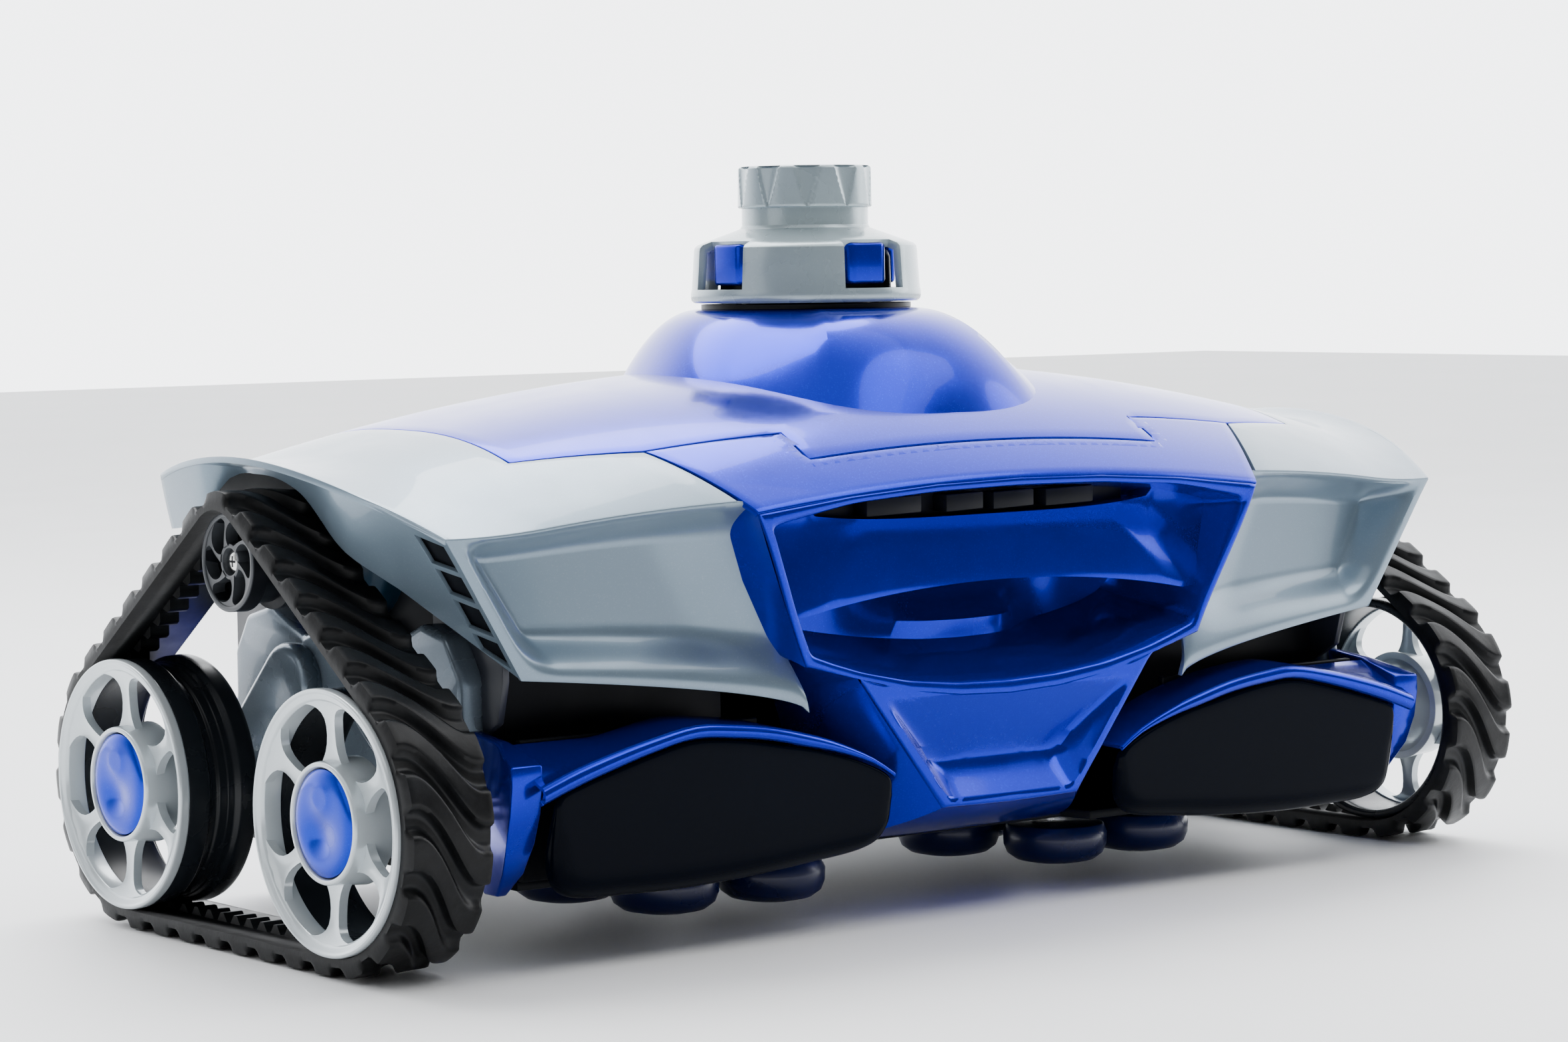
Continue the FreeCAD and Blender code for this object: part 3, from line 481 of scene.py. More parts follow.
def build_belt(side, sign):
    """An endless belt with slanted lugs outside and teeth along its middle inside."""
    width = TRACK_OUT - TRACK_IN
    slant, per_lug, per_tooth, worn, half_tooth = 1.4, 20, 8, 0.35, 4.0

    def at(s, t, high):
        """A point on a line that runs along a lug from edge to edge."""
        x = (TRACK_IN if sign > 0 else -TRACK_OUT) + width * t
        return (x, *belt_point(s + slant * (0.04 * t + 0.96 * smooth((t - 0.10) / 0.80)) / LUGS, high))

    def outer(s, t):
        lug = pulse(s * LUGS, 0.62, 0.16) * smooth(min(t, 1 - t) * width / 1.3) ** 0.5
        leading = 1 - smooth((s * LUGS % 1.0 - 0.2) / 0.5)
        return at(s, t, BELT_GAP + BAND + (LUG - worn) * lug - worn * leading * lug)

    def inner(s, t):
        return at(s, t, BELT_GAP)

    def tooth(s, t):
        drop = TOOTH * pulse(s * TEETH, 0.5, 0.3) if 0.0 < t < 1.0 else 0.0
        return (sign * TRACK_MID + half_tooth * (2 * t - 1), *belt_point(s, BELT_GAP + 0.1 - drop))

    shape = Shape()
    ss = [i / (LUGS * per_lug) for i in range(LUGS * per_lug)]
    shape.grid(outer, ss, [0.0, 0.012] + lin(0.03, 0.97, 31) + [0.988, 1.0], close_u=True, flip=True)
    shape.grid(inner, ss[::3], [0.0, 0.5, 1.0], close_u=True)
    shape.grid(tooth, [i / (TEETH * per_tooth) for i in range(TEETH * per_tooth)],
               [0.0, 0.001, 0.25, 0.5, 0.75, 0.999, 1.0], close_u=True)
    for t in (0.0, 1.0):
        shape.grid(lambda s, k: between(outer(s, t), inner(s, t), k), ss, [0.0, 0.5, 1.0], close_u=True,
                   flip=(t == 1.0))
    shape.piece(side + "_belt", RUBBER, "body", "belt_rubber", side + "_track", merge=0.02, smooth=50.0)


# ---------------------------------------------------------------- wheels
def spokes(sign, cy, cz, hub_r, rim_r, waist, face, depth, dish, hub_share, rim_share, start=0.0, swirl=0.0):
    """Flared spokes between a hub and a rim, sunk between the two; windows between them get round corners.

    waist is half a spoke's least width, and the shares are how much of hub and rim the spokes take up.
    """
    shape = Shape()
    half = math.pi / SPOKES
    ts = [0.0, 0.03, 0.08, 0.16, 0.28, 0.42, 0.56, 0.68, 0.78, 0.85, 0.90, 0.94, 0.97, 0.99, 1.0]
    ws = [-1.0, -0.92, -0.6, 0.0, 0.6, 0.92, 1.0]
    for k in range(SPOKES):
        def point(t, w, layer=0.0):
            r = hub_r + (rim_r - hub_r) * t
            width = waist + (rim_share * half * r - waist) * t ** 7
            width += (hub_share * half * r - waist) * (1 - t) ** 8
            a = start + 2 * math.pi * k / SPOKES + swirl * (t ** 1.5) + w * width / r
            x = face - dish * (1 - t ** 4) * (1 - 0.12 * w * w) - layer
            return sign * x, cy + r * math.sin(a), cz + r * math.cos(a)

        shape.grid(point, ts, ws, flip=sign < 0)
        shape.grid(lambda t, w: point(t, w, depth), ts, ws, flip=sign > 0)
        for w, turn in ((-1.0, sign > 0), (1.0, sign < 0)):
            shape.grid(lambda t, d: point(t, w, d * depth), ts, [0.0, 0.15, 1.0], flip=turn)
    return shape


def build_wheel(tag, sign, cy):
    to3d = along_x(sign, cy, WHEEL_Z)
    face, mid = WHEEL_FACE, TRACK_MID
    rim = Shape()
    ring = [(41.6, face - 2.2), (42.6, face - 1.1), (44.4, face - 0.6), (45.1, face), (46.0, face - 0.1),
            (46.3, face - 1.0), (46.3, face - 3.6), (45.7, face - 4.4), (43.4, face - 4.4),
            (42.9, face - 9.0), (41.5, face - 9.0)]
    hub = [(19.1, face - 1.2), (19.6, face + 0.1), (20.9, face), (21.3, face - 0.8), (21.6, face - 6.0),
           (22.4, face - 15.0), (19.1, face - 15.0)]
    rim.turned(rounded(ring, 0.4), to3d, 120)
    rim.turned(rounded(hub, 0.4), to3d, 96)
    rim.add(spokes(sign, cy, WHEEL_Z, 21.0, 42.4, waist=2.5, face=face - 1.6, depth=3.4, dish=3.4,
                   hub_share=0.62, rim_share=0.66))
    rim.piece(tag + "_spoked_rim", WHEEL_SILVER, tag, "wheel_silver", tag + "_rim", smooth=40)

    drum = Shape()
    outline = [(45.8, face - 4.3), (45.9, mid + 6.4), (44.4, mid + 5.2), (42.6, mid + 4.6), (42.2, mid + 1.6),
               (43.2, mid + 0.8), (43.4, mid - 2.2), (43.8, mid - 2.8), (44.0, mid - 5.0), (45.9, mid - 6.6),
               (46.2, 239.0), (45.6, 237.2), (43.6, 236.7), (42.4, 237.4), (42.0, 240.0), (42.0, 247.0),
               (42.1, face - 9.2), (43.6, face - 4.2)]
    drum.turned(rounded(outline, 0.5, 2), to3d, 120)
    drum.piece(tag + "_barrel", DRUM, tag, "dark_plastic", tag + "_drum", smooth=40)

    core = Shape()
    core.turned([(6.0, 238.0), (13.0, 238.0), (14.5, 246.0), (20.6, face - 13.0), (20.6, face - 7.0),
                 (6.0, face - 7.0)], to3d, 72)
    core.piece(tag + "_core", WHEEL_SILVER, tag, "wheel_silver", edge=(0.4, 2), smooth=40)

    def dome(r, a):
        """The cap's face, with a knob above a hollow."""
        k = r / CAP_R
        across, up = k * math.cos(a), k * math.sin(a)
        knob = 1.5 * math.exp(-(across ** 2 + (up - 0.45) ** 2) / 0.075)
        hollow = 2.0 * math.exp(-((across - 0.1) ** 2 / 0.22 + (up + 0.25) ** 2 / 0.12))
        x = face + 0.55 * (1 - k ** 6) - 0.9 * k ** 12 + knob * 0.55 - hollow
        return to3d(r * math.cos(a), r * math.sin(a), min(x, CAP_OUT))

    cap = Shape()
    cap.grid(dome, lin(0.01, CAP_R, 24), circle(72), close_v=True, flip=sign < 0)
    cap.grid(lambda x, a: to3d(CAP_R * math.cos(a), CAP_R * math.sin(a), x), [face - 0.9, face - 6.0],
             circle(72), close_v=True, flip=sign < 0)
    cap.piece(tag + "_hub_cap", CAP_BLUE, tag, "cap_blue", tag + "_cap", smooth=50)


def build_pulley(side, sign):
    to3d = along_x(sign, 0.0, PULLEY_Z)
    body, mid = side + "_drive", TRACK_MID
    drum = Shape()
    rim, flange = PULLEY_R - 0.3, PULLEY_R - 0.2
    outline = [(rim, PULLEY_FACE), (flange, mid + 5.5), (14.2, mid + 4.8), (14.2, mid - 4.8),
               (flange, mid - 5.5), (rim, 236.8), (6.0, 236.8), (6.0, 246.0), (15.2, 247.0),
               (16.0, PULLEY_FACE)]
    drum.turned(rounded(outline, 0.4, 2), to3d, 96)
    drum.piece(side + "_pulley_drum", DARK, body, "grey_plastic", side + "_drive_pulley", smooth=40)
    face = Shape()
    face.turned(rounded([(15.7, 262.4), (17.9, 262.4), (17.9, 263.0), (17.0, 263.3), (15.9, 263.1)], 0.2, 2),
                to3d, 96)
    face.turned(rounded([(4.9, 262.0), (6.4, 262.0), (6.4, 257.0), (4.9, 257.0)], 0.3, 2), to3d, 48)
    face.add(spokes(sign, 0.0, PULLEY_Z, 5.8, 16.2, waist=0.55, face=PULLEY_FACE + 0.1, depth=5.0, dish=0.4,
                    hub_share=0.5, rim_share=0.9, start=math.radians(20), swirl=math.radians(26 * sign)))
    face.piece(side + "_pulley_spokes", PULLEY_GREY, body, "grey_plastic", smooth=40)
    screw = Shape()
    screw.turned([(0.01, 260.9), (1.0, 260.95), (2.6, 260.8), (4.0, 260.1), (4.7, 259.0), (4.7, 258.2),
                  (0.01, 258.2)], to3d, 48)
    screw.piece(side + "_pan_screw", STEEL, body, "steel", side + "_pulley_screw", smooth=40)
    cross = Shape()
    for w, h in ((2.0, 0.42), (0.42, 2.0)):
        cross.prism([(-w, -h), (w, -h), (w, h), (-w, h)], to3d, 260.2, 261.05)
    cross.piece(side + "_screw_recess", DARK, body, "steel", edge=(0.1, 1))


# ---------------------------------------------------------------- frames inside the belts
def build_frame(side, sign):
    to3d = along_x(sign)
    plate = Shape()
    half = [(0, 40), (46, 40), (60, 44), (80, 62), (77, 84), (77, 100), (68, 114), (52, 118), (38, 112),
            (28, 108), (18, 112), (14, 116)]
    plate.prism(half + [(-y, z) for y, z in reversed(half[1:])], to3d, 205.2, 216.0)
    plate.piece(side + "_frame_plate", FRAME_SILVER, "body", "frame_silver", side + "_side_frame",
                edge=(3.0, 4), smooth=50)
    boss = Shape()
    for s in (-1, 1):
        low, high = (s * 62.0, 62.0, 14.0), (s * 30.0, 90.0, 16.0)
        lean = math.atan2(high[1] - low[1], high[0] - low[0]) - math.pi / 2
        pill = []
        for a in circle(24):
            cy, cz, r = low if math.sin(a) < 0 else high
            pill.append((cy + r * math.cos(a + lean), cz + r * math.sin(a + lean)))
        boss.prism(pill, to3d, 214.0, 223.5)
    boss.piece(side + "_frame_bosses", FRAME_SILVER, "body", "frame_silver", edge=(3.4, 5), smooth=50)
    house = Shape()
    profile = [(9.2, 178.4), (23.8, 178.4), (23.8, 211.0), (20.0, 215.0), (17.0, 223.8), (9.2, 223.8)]
    house.turned(rounded(profile, 1.2), along_x(sign, 0.0, PULLEY_Z), 72)
    house.piece(side + "_shaft_housing", TEAL, "body", "frame_silver", smooth=40)


# ---------------------------------------------------------------- cover
def cover_seam(x):
    """y of the cover's front edge beside its tongue."""
    a = abs(x)
    if a <= TONGUE_X:
        return COVER_FRONT
    if a <= SHOULDER_X:
        return COVER_FRONT + 5.0 * (a - TONGUE_X) / (SHOULDER_X - TONGUE_X)
    return COVER_FRONT + 5.0 + 14.6 * (a - SHOULDER_X) / (COVER_X - SHOULDER_X)


def build_cover():
    skin = Shape()

    def strip(xs, front, rear, n):
        skin.grid(lambda x, t: on_top(x, front(x) + (rear - front(x)) * t), xs, lin(0.0, 1.0, n))

    tongue = lin(-TONGUE_X, TONGUE_X, 29)
    xs = lin(-COVER_X, -SHOULDER_X, 9) + lin(-SHOULDER_X, -TONGUE_X, 10)[1:] + tongue[1:]
    xs += lin(TONGUE_X, SHOULDER_X, 10)[1:] + lin(SHOULDER_X, COVER_X, 9)[1:]
    strip(xs, cover_seam, COVER_REAR, 37)
    strip(tongue, lambda x: TONGUE_Y, COVER_FRONT, 4)
    skin.piece("cover_skin", BLUE, "cover", "blue_shell", "top_cover", merge=0.05, wall=SKIN, edge=(0.55, 3),
               smooth=40)

    # the dome: a front lobe between two ridges, and flatter side lobes that run into the cover
    foot_r = curve([(0, 91.0), (32, 93.0), (61, 82.5), (102, 71.5), (140, 74.0), (180, 78.0)])

    def dome(a, t):
        off = abs((a + 180.0) % 360.0 - 180.0)
        base = foot_r(off)
        foot = top_z(*about_z(base, a, 0.0)[:2]) - 0.8
        z = foot + (DOME_Z - foot) * (1 - t ** 2.2)
        if off > DOME_RIDGE:
            w = (off - DOME_RIDGE) / 16.0
            z -= 7.0 * w * math.exp(1 - w) * math.sin(math.pi * t ** 1.25) * 0.62
        return about_z(DOME_R + (base - DOME_R) * t, a, z)

    bulge = Shape()
    angles = sorted({*np.arange(-180.0, 180.0, 4.0), -DOME_RIDGE, DOME_RIDGE})
    bulge.grid(dome, angles, lin(0.0, 1.0, 30), close_u=True, flip=True)
    neck = [(DOME_R, DOME_Z), (30.0, DOME_Z + 0.08), (24.0, DOME_Z), (24.0, 162.0), (19.2, 162.0),
            (19.2, 224.0)]
    bulge.grid(lambda a, k: about_z(neck[k][0], a, neck[k][1]), angles, range(len(neck)), close_u=True)
    bulge.piece("cover_dome", BLUE, "cover", "blue_shell", merge=0.02, smooth=24)

    for x in (-HINGE_X, HINGE_X):
        knuckle = Shape()
        knuckle.turned(rounded([(2.1, x - 5), (4.1, x - 5), (4.1, x + 5), (2.1, x + 5)], 0.4, 2),
                       along_x(1, HINGE_Y, HINGE_Z), 40)
        knuckle.prism([(88.5, 180.2), (96.4, 179.8), (96.4, 183.5), (94.0, 184.5)], along_x(1), x - 4.9,
                      x + 4.9)
        knuckle.piece(f"cover_knuckle_{'l' if x < 0 else 'r'}", BLUE, "cover", "blue_shell", edge=(0.3, 2))


# ---------------------------------------------------------------- nose
def rim_y(z):
    """The nose's front face, which leans forward to its brow."""
    return -119.5 - 6.5 * smooth((z - 98.0) / 56.0)


NOSE_OUT = [(0, 162.5), (40, 161.7), (80, 159.1), (NOSE_X, 154.7), (108.0, 124.0), (96.0, 98.4), (72.0, 92.5),
            (33.0, 42.0), (0, 41.4)]
NOSE_SIDE = NOSE_OUT[7:2:-1]
# the mouth: the rim's outer line, its inner line and the back of the bowl, point for point
BROW = [(0, 162.5), (40, 161.7), (80, 159.1), (NOSE_X, 154.7), (114.0, 138.0), (105.0, 118.0), (96.0, 98.4),
        (84.0, 95.4), (72.0, 92.5), (48.0, 86.6), (24.0, 83.6), (0, 82.6)]
MOUTH = [(0, 159.4), (40, 158.8), (79, 156.4), (115.4, 150.0), (110.0, 137.0), (102.0, 119.5), (93.6, 102.6),
         (83.0, 98.8), (70.0, 94.9), (48.0, 90.2), (24.0, 87.6), (0, 86.8)]
BACK = [(0, 150.0), (36, 149.5), (70, 147.5), (97, 142.0), (96, 133.0), (92, 122.0), (84, 113.0), (73, 109.0),
        (59, 106.0), (40, 103.0), (20, 101.5), (0, 101.0)]
# the scoop under it, the same way
CHIN_OUT = [(0, 82.6), (24, 83.6), (48, 86.6), (72.0, 92.5), (59.4, 76.2), (45.6, 58.3), (33.0, 42.0),
            (16, 41.6), (0, 41.4)]
SCOOP = [(0, 82.0), (24, 82.9), (46, 85.6), (66.6, 89.6), (55.4, 75.4), (42.4, 58.6), (30.6, 45.6),
         (15, 45.0), (0, 44.8)]
BOWL_DEPTH, SCOOP_DEPTH = 44.0, 11.0
# (share of the way in, share of the depth) up the bowl's walls and along its ramp
WALL_STEPS = [(0.0, 0.03), (0.03, 0.10), (0.08, 0.25), (0.16, 0.5), (0.30, 0.74), (0.5, 0.9), (0.75, 0.98),
              (1, 1)]
RAMP_STEPS = [(0.0, 0.02), (0.10, 0.06), (0.24, 0.16), (0.40, 0.31), (0.58, 0.50), (0.75, 0.71), (0.88, 0.87),
              (1, 1)]


def both(half):
    """Closes a right-half outline with its mirror image."""
    return half + [(-x, z) for x, z in reversed(half) if x > 0]


def eased(half, passes=0, per=12):
    """Points spread along a closed outline, per to a side, with its corners eased by averaging."""
    outline = both(half)
    points = np.array([between(p, q, k / per) for p, q in zip(outline, outline[1:] + outline[:1])
                       for k in range(per)])
    for _ in range(passes):
        points = (np.roll(points, 1, 0) + 2 * points + np.roll(points, -1, 0)) / 4
    return points


def ring_at(flat, lean, back):
    """A ring of (x, z) points set back from the face, which leans as it does at the heights in lean."""
    return np.column_stack([flat[:, 0], np.array([rim_y(z) for z in lean]) + back, flat[:, 1]])


def rim_rings(outer, inner, steps, turned):
    """The rim's outer edge, which rolls back where turned is 1."""
    rings = []
    for share, back in steps:
        flat = outer + (inner - outer) * share
        rings.append(ring_at(flat, flat[:, 1], back * turned))
    return rings


def mouth_rings():
    """The bright rim and the bowl behind it."""
    outer, inner, back = eased(BROW), eased(MOUTH, 5), eased(BACK, 8)
    rolled = 1 - np.clip((98.0 - outer[:, 1]) / 5.0, 0, 1)
    rings = rim_rings(outer, inner, ((0.0, 1.6), (0.04, 0.7), (0.16, 0.15), (0.3, 0.0)), rolled)
    rings += rim_rings(outer, inner, ((0.66, 0.0), (0.86, 0.3)), 1.0)
    low = np.clip((108.0 - inner[:, 1]) / 10.0, 0, 1)
    low = low * low * (3 - 2 * low)
    bowl = []
    for (wall_in, wall_down), (ramp_in, ramp_down) in zip(WALL_STEPS, RAMP_STEPS):
        share = (wall_in + (ramp_in - wall_in) * low)[:, None]
        depth = BOWL_DEPTH * (wall_down + (ramp_down - wall_down) * low)
        bowl.append(ring_at(inner + (back - inner) * share, inner[:, 1], depth))
    for share in (0.3, 0.6, 0.85, 1.0):
        x, z = back[:, 0] * (1 - 0.1 * share), back[:, 1] + (124.0 - back[:, 1]) * share
        bowl.append(ring_at(np.column_stack([x, z]), inner[:, 1], BOWL_DEPTH))
    for ring in bowl:
        x, y, z = ring.T
        boss = np.exp(-(x / 37.0) ** 4 - ((z - 105.5) / 11.0) ** 2)
        ring[:, 1] -= 17.0 * boss * np.clip((y + 116.0) / 18.0, 0, 1)
    return rings + bowl


def scoop_rings():
    """The rim and the hollow of the scoop, whose floor is a bright ledge."""
    outer, inner = eased(CHIN_OUT), eased(SCOOP, 2)
    lip = np.clip((outer[:, 1] - 78.0) / 8.0, 0, 1)
    edge = np.where(np.abs(outer[:, 0]) > 60.0, np.clip((outer[:, 1] - 90.0) / 2.0, 0, 1), lip)
    rings = rim_rings(outer, inner, ((0.0, 1.6), (0.06, 0.7), (0.2, 0.15), (0.36, 0.0)), 1 - edge)
    rings += rim_rings(outer, inner, ((0.8, 0.0),), 1.0)
    slope = (59.4 - 33.0) / (76.2 - 42.0)
    for share in (0.0, 0.02, 0.05, 0.09, 0.14, 0.2, 0.28, 0.38, 0.5, 0.65, 0.82, 1.0):
        flat = inner + (np.array([0.0, 68.0]) - inner) * share
        x, z = flat.T
        # the least of the depths that the sides, the sill and the sloping back allow, blended
        side = (30.6 + (z - 45.6) * slope - np.abs(x)) * 0.79
        limits = [side * 1.5 + 0.3, (z - 44.9) * 0.95 + 0.2,
                  SCOOP_DEPTH * (1 - np.clip((z - 57.0) / 27.0, 0, 1) ** 1.15)]
        depth = -np.log(sum(np.exp(-0.75 * v) for v in limits)) / 0.75
        rings.append(ring_at(flat, z, np.maximum(depth, 0.0)))
    return rings


def build_grip():
    """The convex band across the bowl, sharp below and sunk behind the slot above."""
    top, lip, under = 149.0, 7.0, 21.0

    def top_edge(a):
        slot = 148.2 + 3.0 * (a / 80.0) ** 4
        return slot + (159.0 - slot) * smooth((a - 79.5) / 4.0)

    def low_edge(a):
        return 124.2 - 7.9 * (a / 100.0) ** 2

    def front(a, z):
        drop = max(0.0, (top - z) / (top - low_edge(a)))
        crease = 58.0 + (top - z) * 0.9
        swell = 1.0 - min(1.0, max(0.0, (a - crease) / 26.0))
        belly = 3.6 * swell * math.sin(math.pi * min(1.0, drop * 0.8 + 0.08))
        return -106.0 - 7.0 * min(1.0, drop) ** 1.5 - belly

    def section(u, t):
        """t from 0 to 1 down the front, to 2 back under it and to 3 up behind it."""
        a = abs(u) * 113.0
        high, low = top_edge(a), low_edge(min(a, 103.0))
        if t <= 1.0:
            z = high + (low - high) * t
        else:
            z = low + lip * (t - 1.0) if t <= 2.0 else low + lip + (high - low - lip) * (t - 2.0)
        x = u * (101.4 + (z - 116.5) * 0.42)
        y = front(abs(x), z)
        if t > 2.0:
            y = max(front(abs(x), low) + under, y + 5.0)
        elif t > 1.0:
            y = front(abs(x), low) + under * (t - 1.0)
        return x, y, z

    bar = Shape()
    around = lin(0.0, 1.0, 24) + [1.01, 1.04, 1.1, 1.3, 1.6, 2.0, 2.3, 2.7, 3.0]
    bar.grid(section, lin(-1.0, 1.0, 141), around, close_v=True, flip=True)
    bar.piece("grip_lip", BLUE, "body", "blue_shell", "grip_bar", smooth=40)


def build_nose():
    face = Shape()
    for rings in (mouth_rings(), scoop_rings()):
        face.grid(lambda i, k: rings[i][k], range(len(rings)), range(len(rings[0])), close_v=True, flip=True)

    # side walls and a chin run back from the face's outline
    edge = [(x, rim_y(z) + 1.5, z) for x, z in reversed(NOSE_SIDE)]
    bulged = [(120.0, -104.0, 159.0), (115.5, -102.0, 132.0), (105.0, -100.0, 108.0), (81.0, -100.0, 84.5),
              (43.0, -106.0, 34.5)]
    back = [(139.0, -78.0, 172.0), (122.0, -78.0, 136.0), (104.0, -78.0, 104.0), (80.0, -78.0, 84.0),
            (60.0, -78.0, 27.0)]

    def side(k, t):
        i = min(int(k), 3)
        return bent(*(between(line[i], line[i + 1], k - i) for line in (edge, bulged, back)), t)

    def chin(u, t):
        x, y, z = bent((33.0, -117.9, 42.0), bulged[-1], back[-1], t)
        return u * x, y, z - 0.6 * (1 - u * u)

    face.both_sides(side, [k / 8 for k in range(33)], lin(0.0, 1.0, 14))
    face.grid(chin, lin(-1, 1, 9), lin(0, 1, 10), flip=True)

    roof = Shape()
    seam_x, seam_y = 85.6, COVER_FRONT - SEAM
    depth = seam_y - NOSE_Y

    def roof_point(u, t):
        rear = (u * NOSE_BACK_X, seam_y + 5.2 * max(0.0, (abs(u) * NOSE_BACK_X - seam_x) / 57.0))
        x, y = between((u * NOSE_X, NOSE_Y + 0.5 * u * u), rear, t)
        lip = max(0.0, 1 - (y - NOSE_Y) / 2.0)
        return on_top(x, y, 1.2 * lip * lip)

    k = seam_x / NOSE_BACK_X
    us = lin(-1, -k, 12) + lin(-k, k, 31)[1:] + lin(k, 1, 12)[1:]
    ts = [0.0, 0.02, 0.05] + lin(0.1, 1.0, 16)

    def over_tongue(i, j):
        u, t = (us[i] + us[i + 1]) / 2, (ts[j] + ts[j + 1]) / 2
        return abs(u * (NOSE_X + 20.8 * t)) < TONGUE_X and NOSE_Y + depth * t > TONGUE_Y - 1.6

    roof.grid(roof_point, us, ts, skip=over_tongue)
    roof.both_sides(on_top, lin(seam_x, 92.0, 4), lin(-110.0, seam_y, 6), flip=True)
    roof.grid(on_top, lin(-86, 86, 30), lin(-112.0, -108.4, 3))
    roof.piece("nose_roof", BLUE, "body", "blue_shell", "front_shell", merge=0.02, wall=SKIN, edge=(0.5, 3),
               smooth=40)
    face.piece("nose_face", BLUE, "body", "blue_shell", smooth=40)

    # under the cover's tongue: a dark gutter that closes the seam, painted shade for the gap's inside
    gutter = Shape()
    gutter.grid(lambda x, y: on_top(x, y, 3.4), lin(-140, 140, 30), lin(-110, -84, 6))
    gutter.piece("seam_painted_shade", DARK, "body", "blue_shell")

    build_grip()

    catch = Shape()
    for x, w in ((-44, 13), (-10, 9), (14, 10), (42, 12)):
        catch.prism([(x - w, 149.6), (x + w, 150.2), (x + w, 156.5), (x - w, 156.0)], along_y, -106.0, -97.0)
    catch.prism([(-76, 148.0), (76, 148.0), (76, 158.5), (-76, 158.5)], along_y, -98.0, -96.2)
    catch.piece("catch_blocks", DARK, "body", "dark_plastic", "cover_latch", edge=(0.5, 2))


# ---------------------------------------------------------------- fenders
# y along the ridge, and the foot of the wall under it: x, y, z
WALL_FOOT = curve([
    (-104.7, 207.4, -101.9, 100.7), (-100, 213, -92, 103), (-95, 222, -82, 112), (-89, 229, -74, 124),
    (-83, 233, -70, 130), (-74, 238, -66, 134.5), (-62, 244, -57, 141), (-48, 249, -45, 149),
    (-36, 253, -34, 157), (-24, 256, -22, 165), (-11, 257.5, -10.4, 169), (3, 258, 2.8, 170),
    (14, 257, 14, 169), (20, 256.5, 20, 161), (27, 255.5, 26, 153), (40, 254, 40, 150), (60, 251, 60, 148)])
WALL_FRONT, LOUVRE_END = -104.7, -82.0
VENT_FROM, VENT_TO, LOUVRE_DEEP = 3.2, 17.4, 19.0
VENTS = [(0.065, 0.26), (0.30, 0.495), (0.535, 0.73), (0.77, 0.955)]
FENDER_SEAM = COVER_X + SEAM


def roof_z(x, y):
    """The top surface, which flares up or down to the ridge over its last 36 mm."""
    rx, rz = ridge(y)
    s = min(1.0, max(0.0, (x - (rx - 36.0)) / 36.0))
    return top_z(x, y) + (rz - top_z(rx, y)) * s * s


def brow(t):
    """The crest between the roof and the wing, from the nose to the outer corner."""
    x, y = BROW_IN[0] + 112.6 * t, BROW_IN[1] + 14.9 * t
    return x, y, roof_z(x, y)


def fender_roof():
    def across(y, t):
        return FENDER_SEAM + (ridge(y)[0] - FENDER_SEAM) * t

    def main(y, t):
        x = across(y, t)
        return x, y, roof_z(x, y)

    def tail(k, t):
        """The back corner, from the flared tip to the cover's corner."""
        x, y0 = across(SIDE_REAR, t), SIDE_REAR
        edge_y = 97.0 - 5.0 * smooth(t / 0.4) - 32.0 * smooth((t - 0.25) / 0.75)
        y = y0 + (max(edge_y, y0) - y0) * k
        return x, y, roof_z(x, y0) + top_z(x, y) - top_z(x, y0)

    def bow(k, t):
        """The front part, whose inner edge follows the cover to its corner and then the nose."""
        start, corner_k, reach = (FENDER_SEAM, SIDE_FRONT), 0.45, 0.35
        x, y = between((across(SIDE_FRONT, t), SIDE_FRONT), brow(t), k)
        if k < corner_k:
            edge = between(start, SEAM_CORNER, k / corner_k)
        else:
            edge = between(SEAM_CORNER, BROW_IN, (k - corner_k) / (1 - corner_k))
        straight = between(start, BROW_IN, k)
        pull = max(0.0, 1 - t / reach)
        x, y = x + (edge[0] - straight[0]) * pull, y + (edge[1] - straight[1]) * pull
        return x, y, roof_z(x, y)

    roof = Shape()
    columns = lin(0.0, 0.5, 7) + lin(0.5, 1.0, 16)[1:]
    roof.grid(main, lin(SIDE_FRONT, SIDE_REAR, 34), columns, flip=True)
    roof.grid(tail, lin(0.0, 1.0, 12), columns, flip=True)
    roof.grid(bow, lin(0.0, 0.45, 8) + lin(0.45, 0.9, 9)[1:] + [0.93, 0.95, 0.97, 0.985, 1.0], columns)
    return roof


def wall_point(y, t):
    """The fender's side, t from the ridge down to the wall's foot."""
    rx, rz = ridge(y)
    fx, fy, fz = WALL_FOOT(y)
    tuck = smooth((y + 60.0) / 36.0) * (1 - smooth((y - 8.0) / 14.0))
    swell = 1.6 * math.sin(math.pi * t) * min(1.0, (rz - fz) / 30.0)
    x = rx - 10.0 * tuck + (fx - rx + 1.0 * tuck) * t + swell * 0.4
    top = rz - 0.6 - 3.4 * tuck
    return x, y + (fy - y) * t, top + (fz - top) * t + swell


def louvre_point(d, t):
    """A point of the wall d mm behind its front edge."""
    level = t + 0.0062 * d * min(1.0, t / 0.12, (1 - t) / 0.12)
    edge, behind = np.array(wall_point(WALL_FRONT, level)), np.array(wall_point(LOUVRE_END, level))
    return edge + (behind - edge) / np.linalg.norm(behind - edge) * d


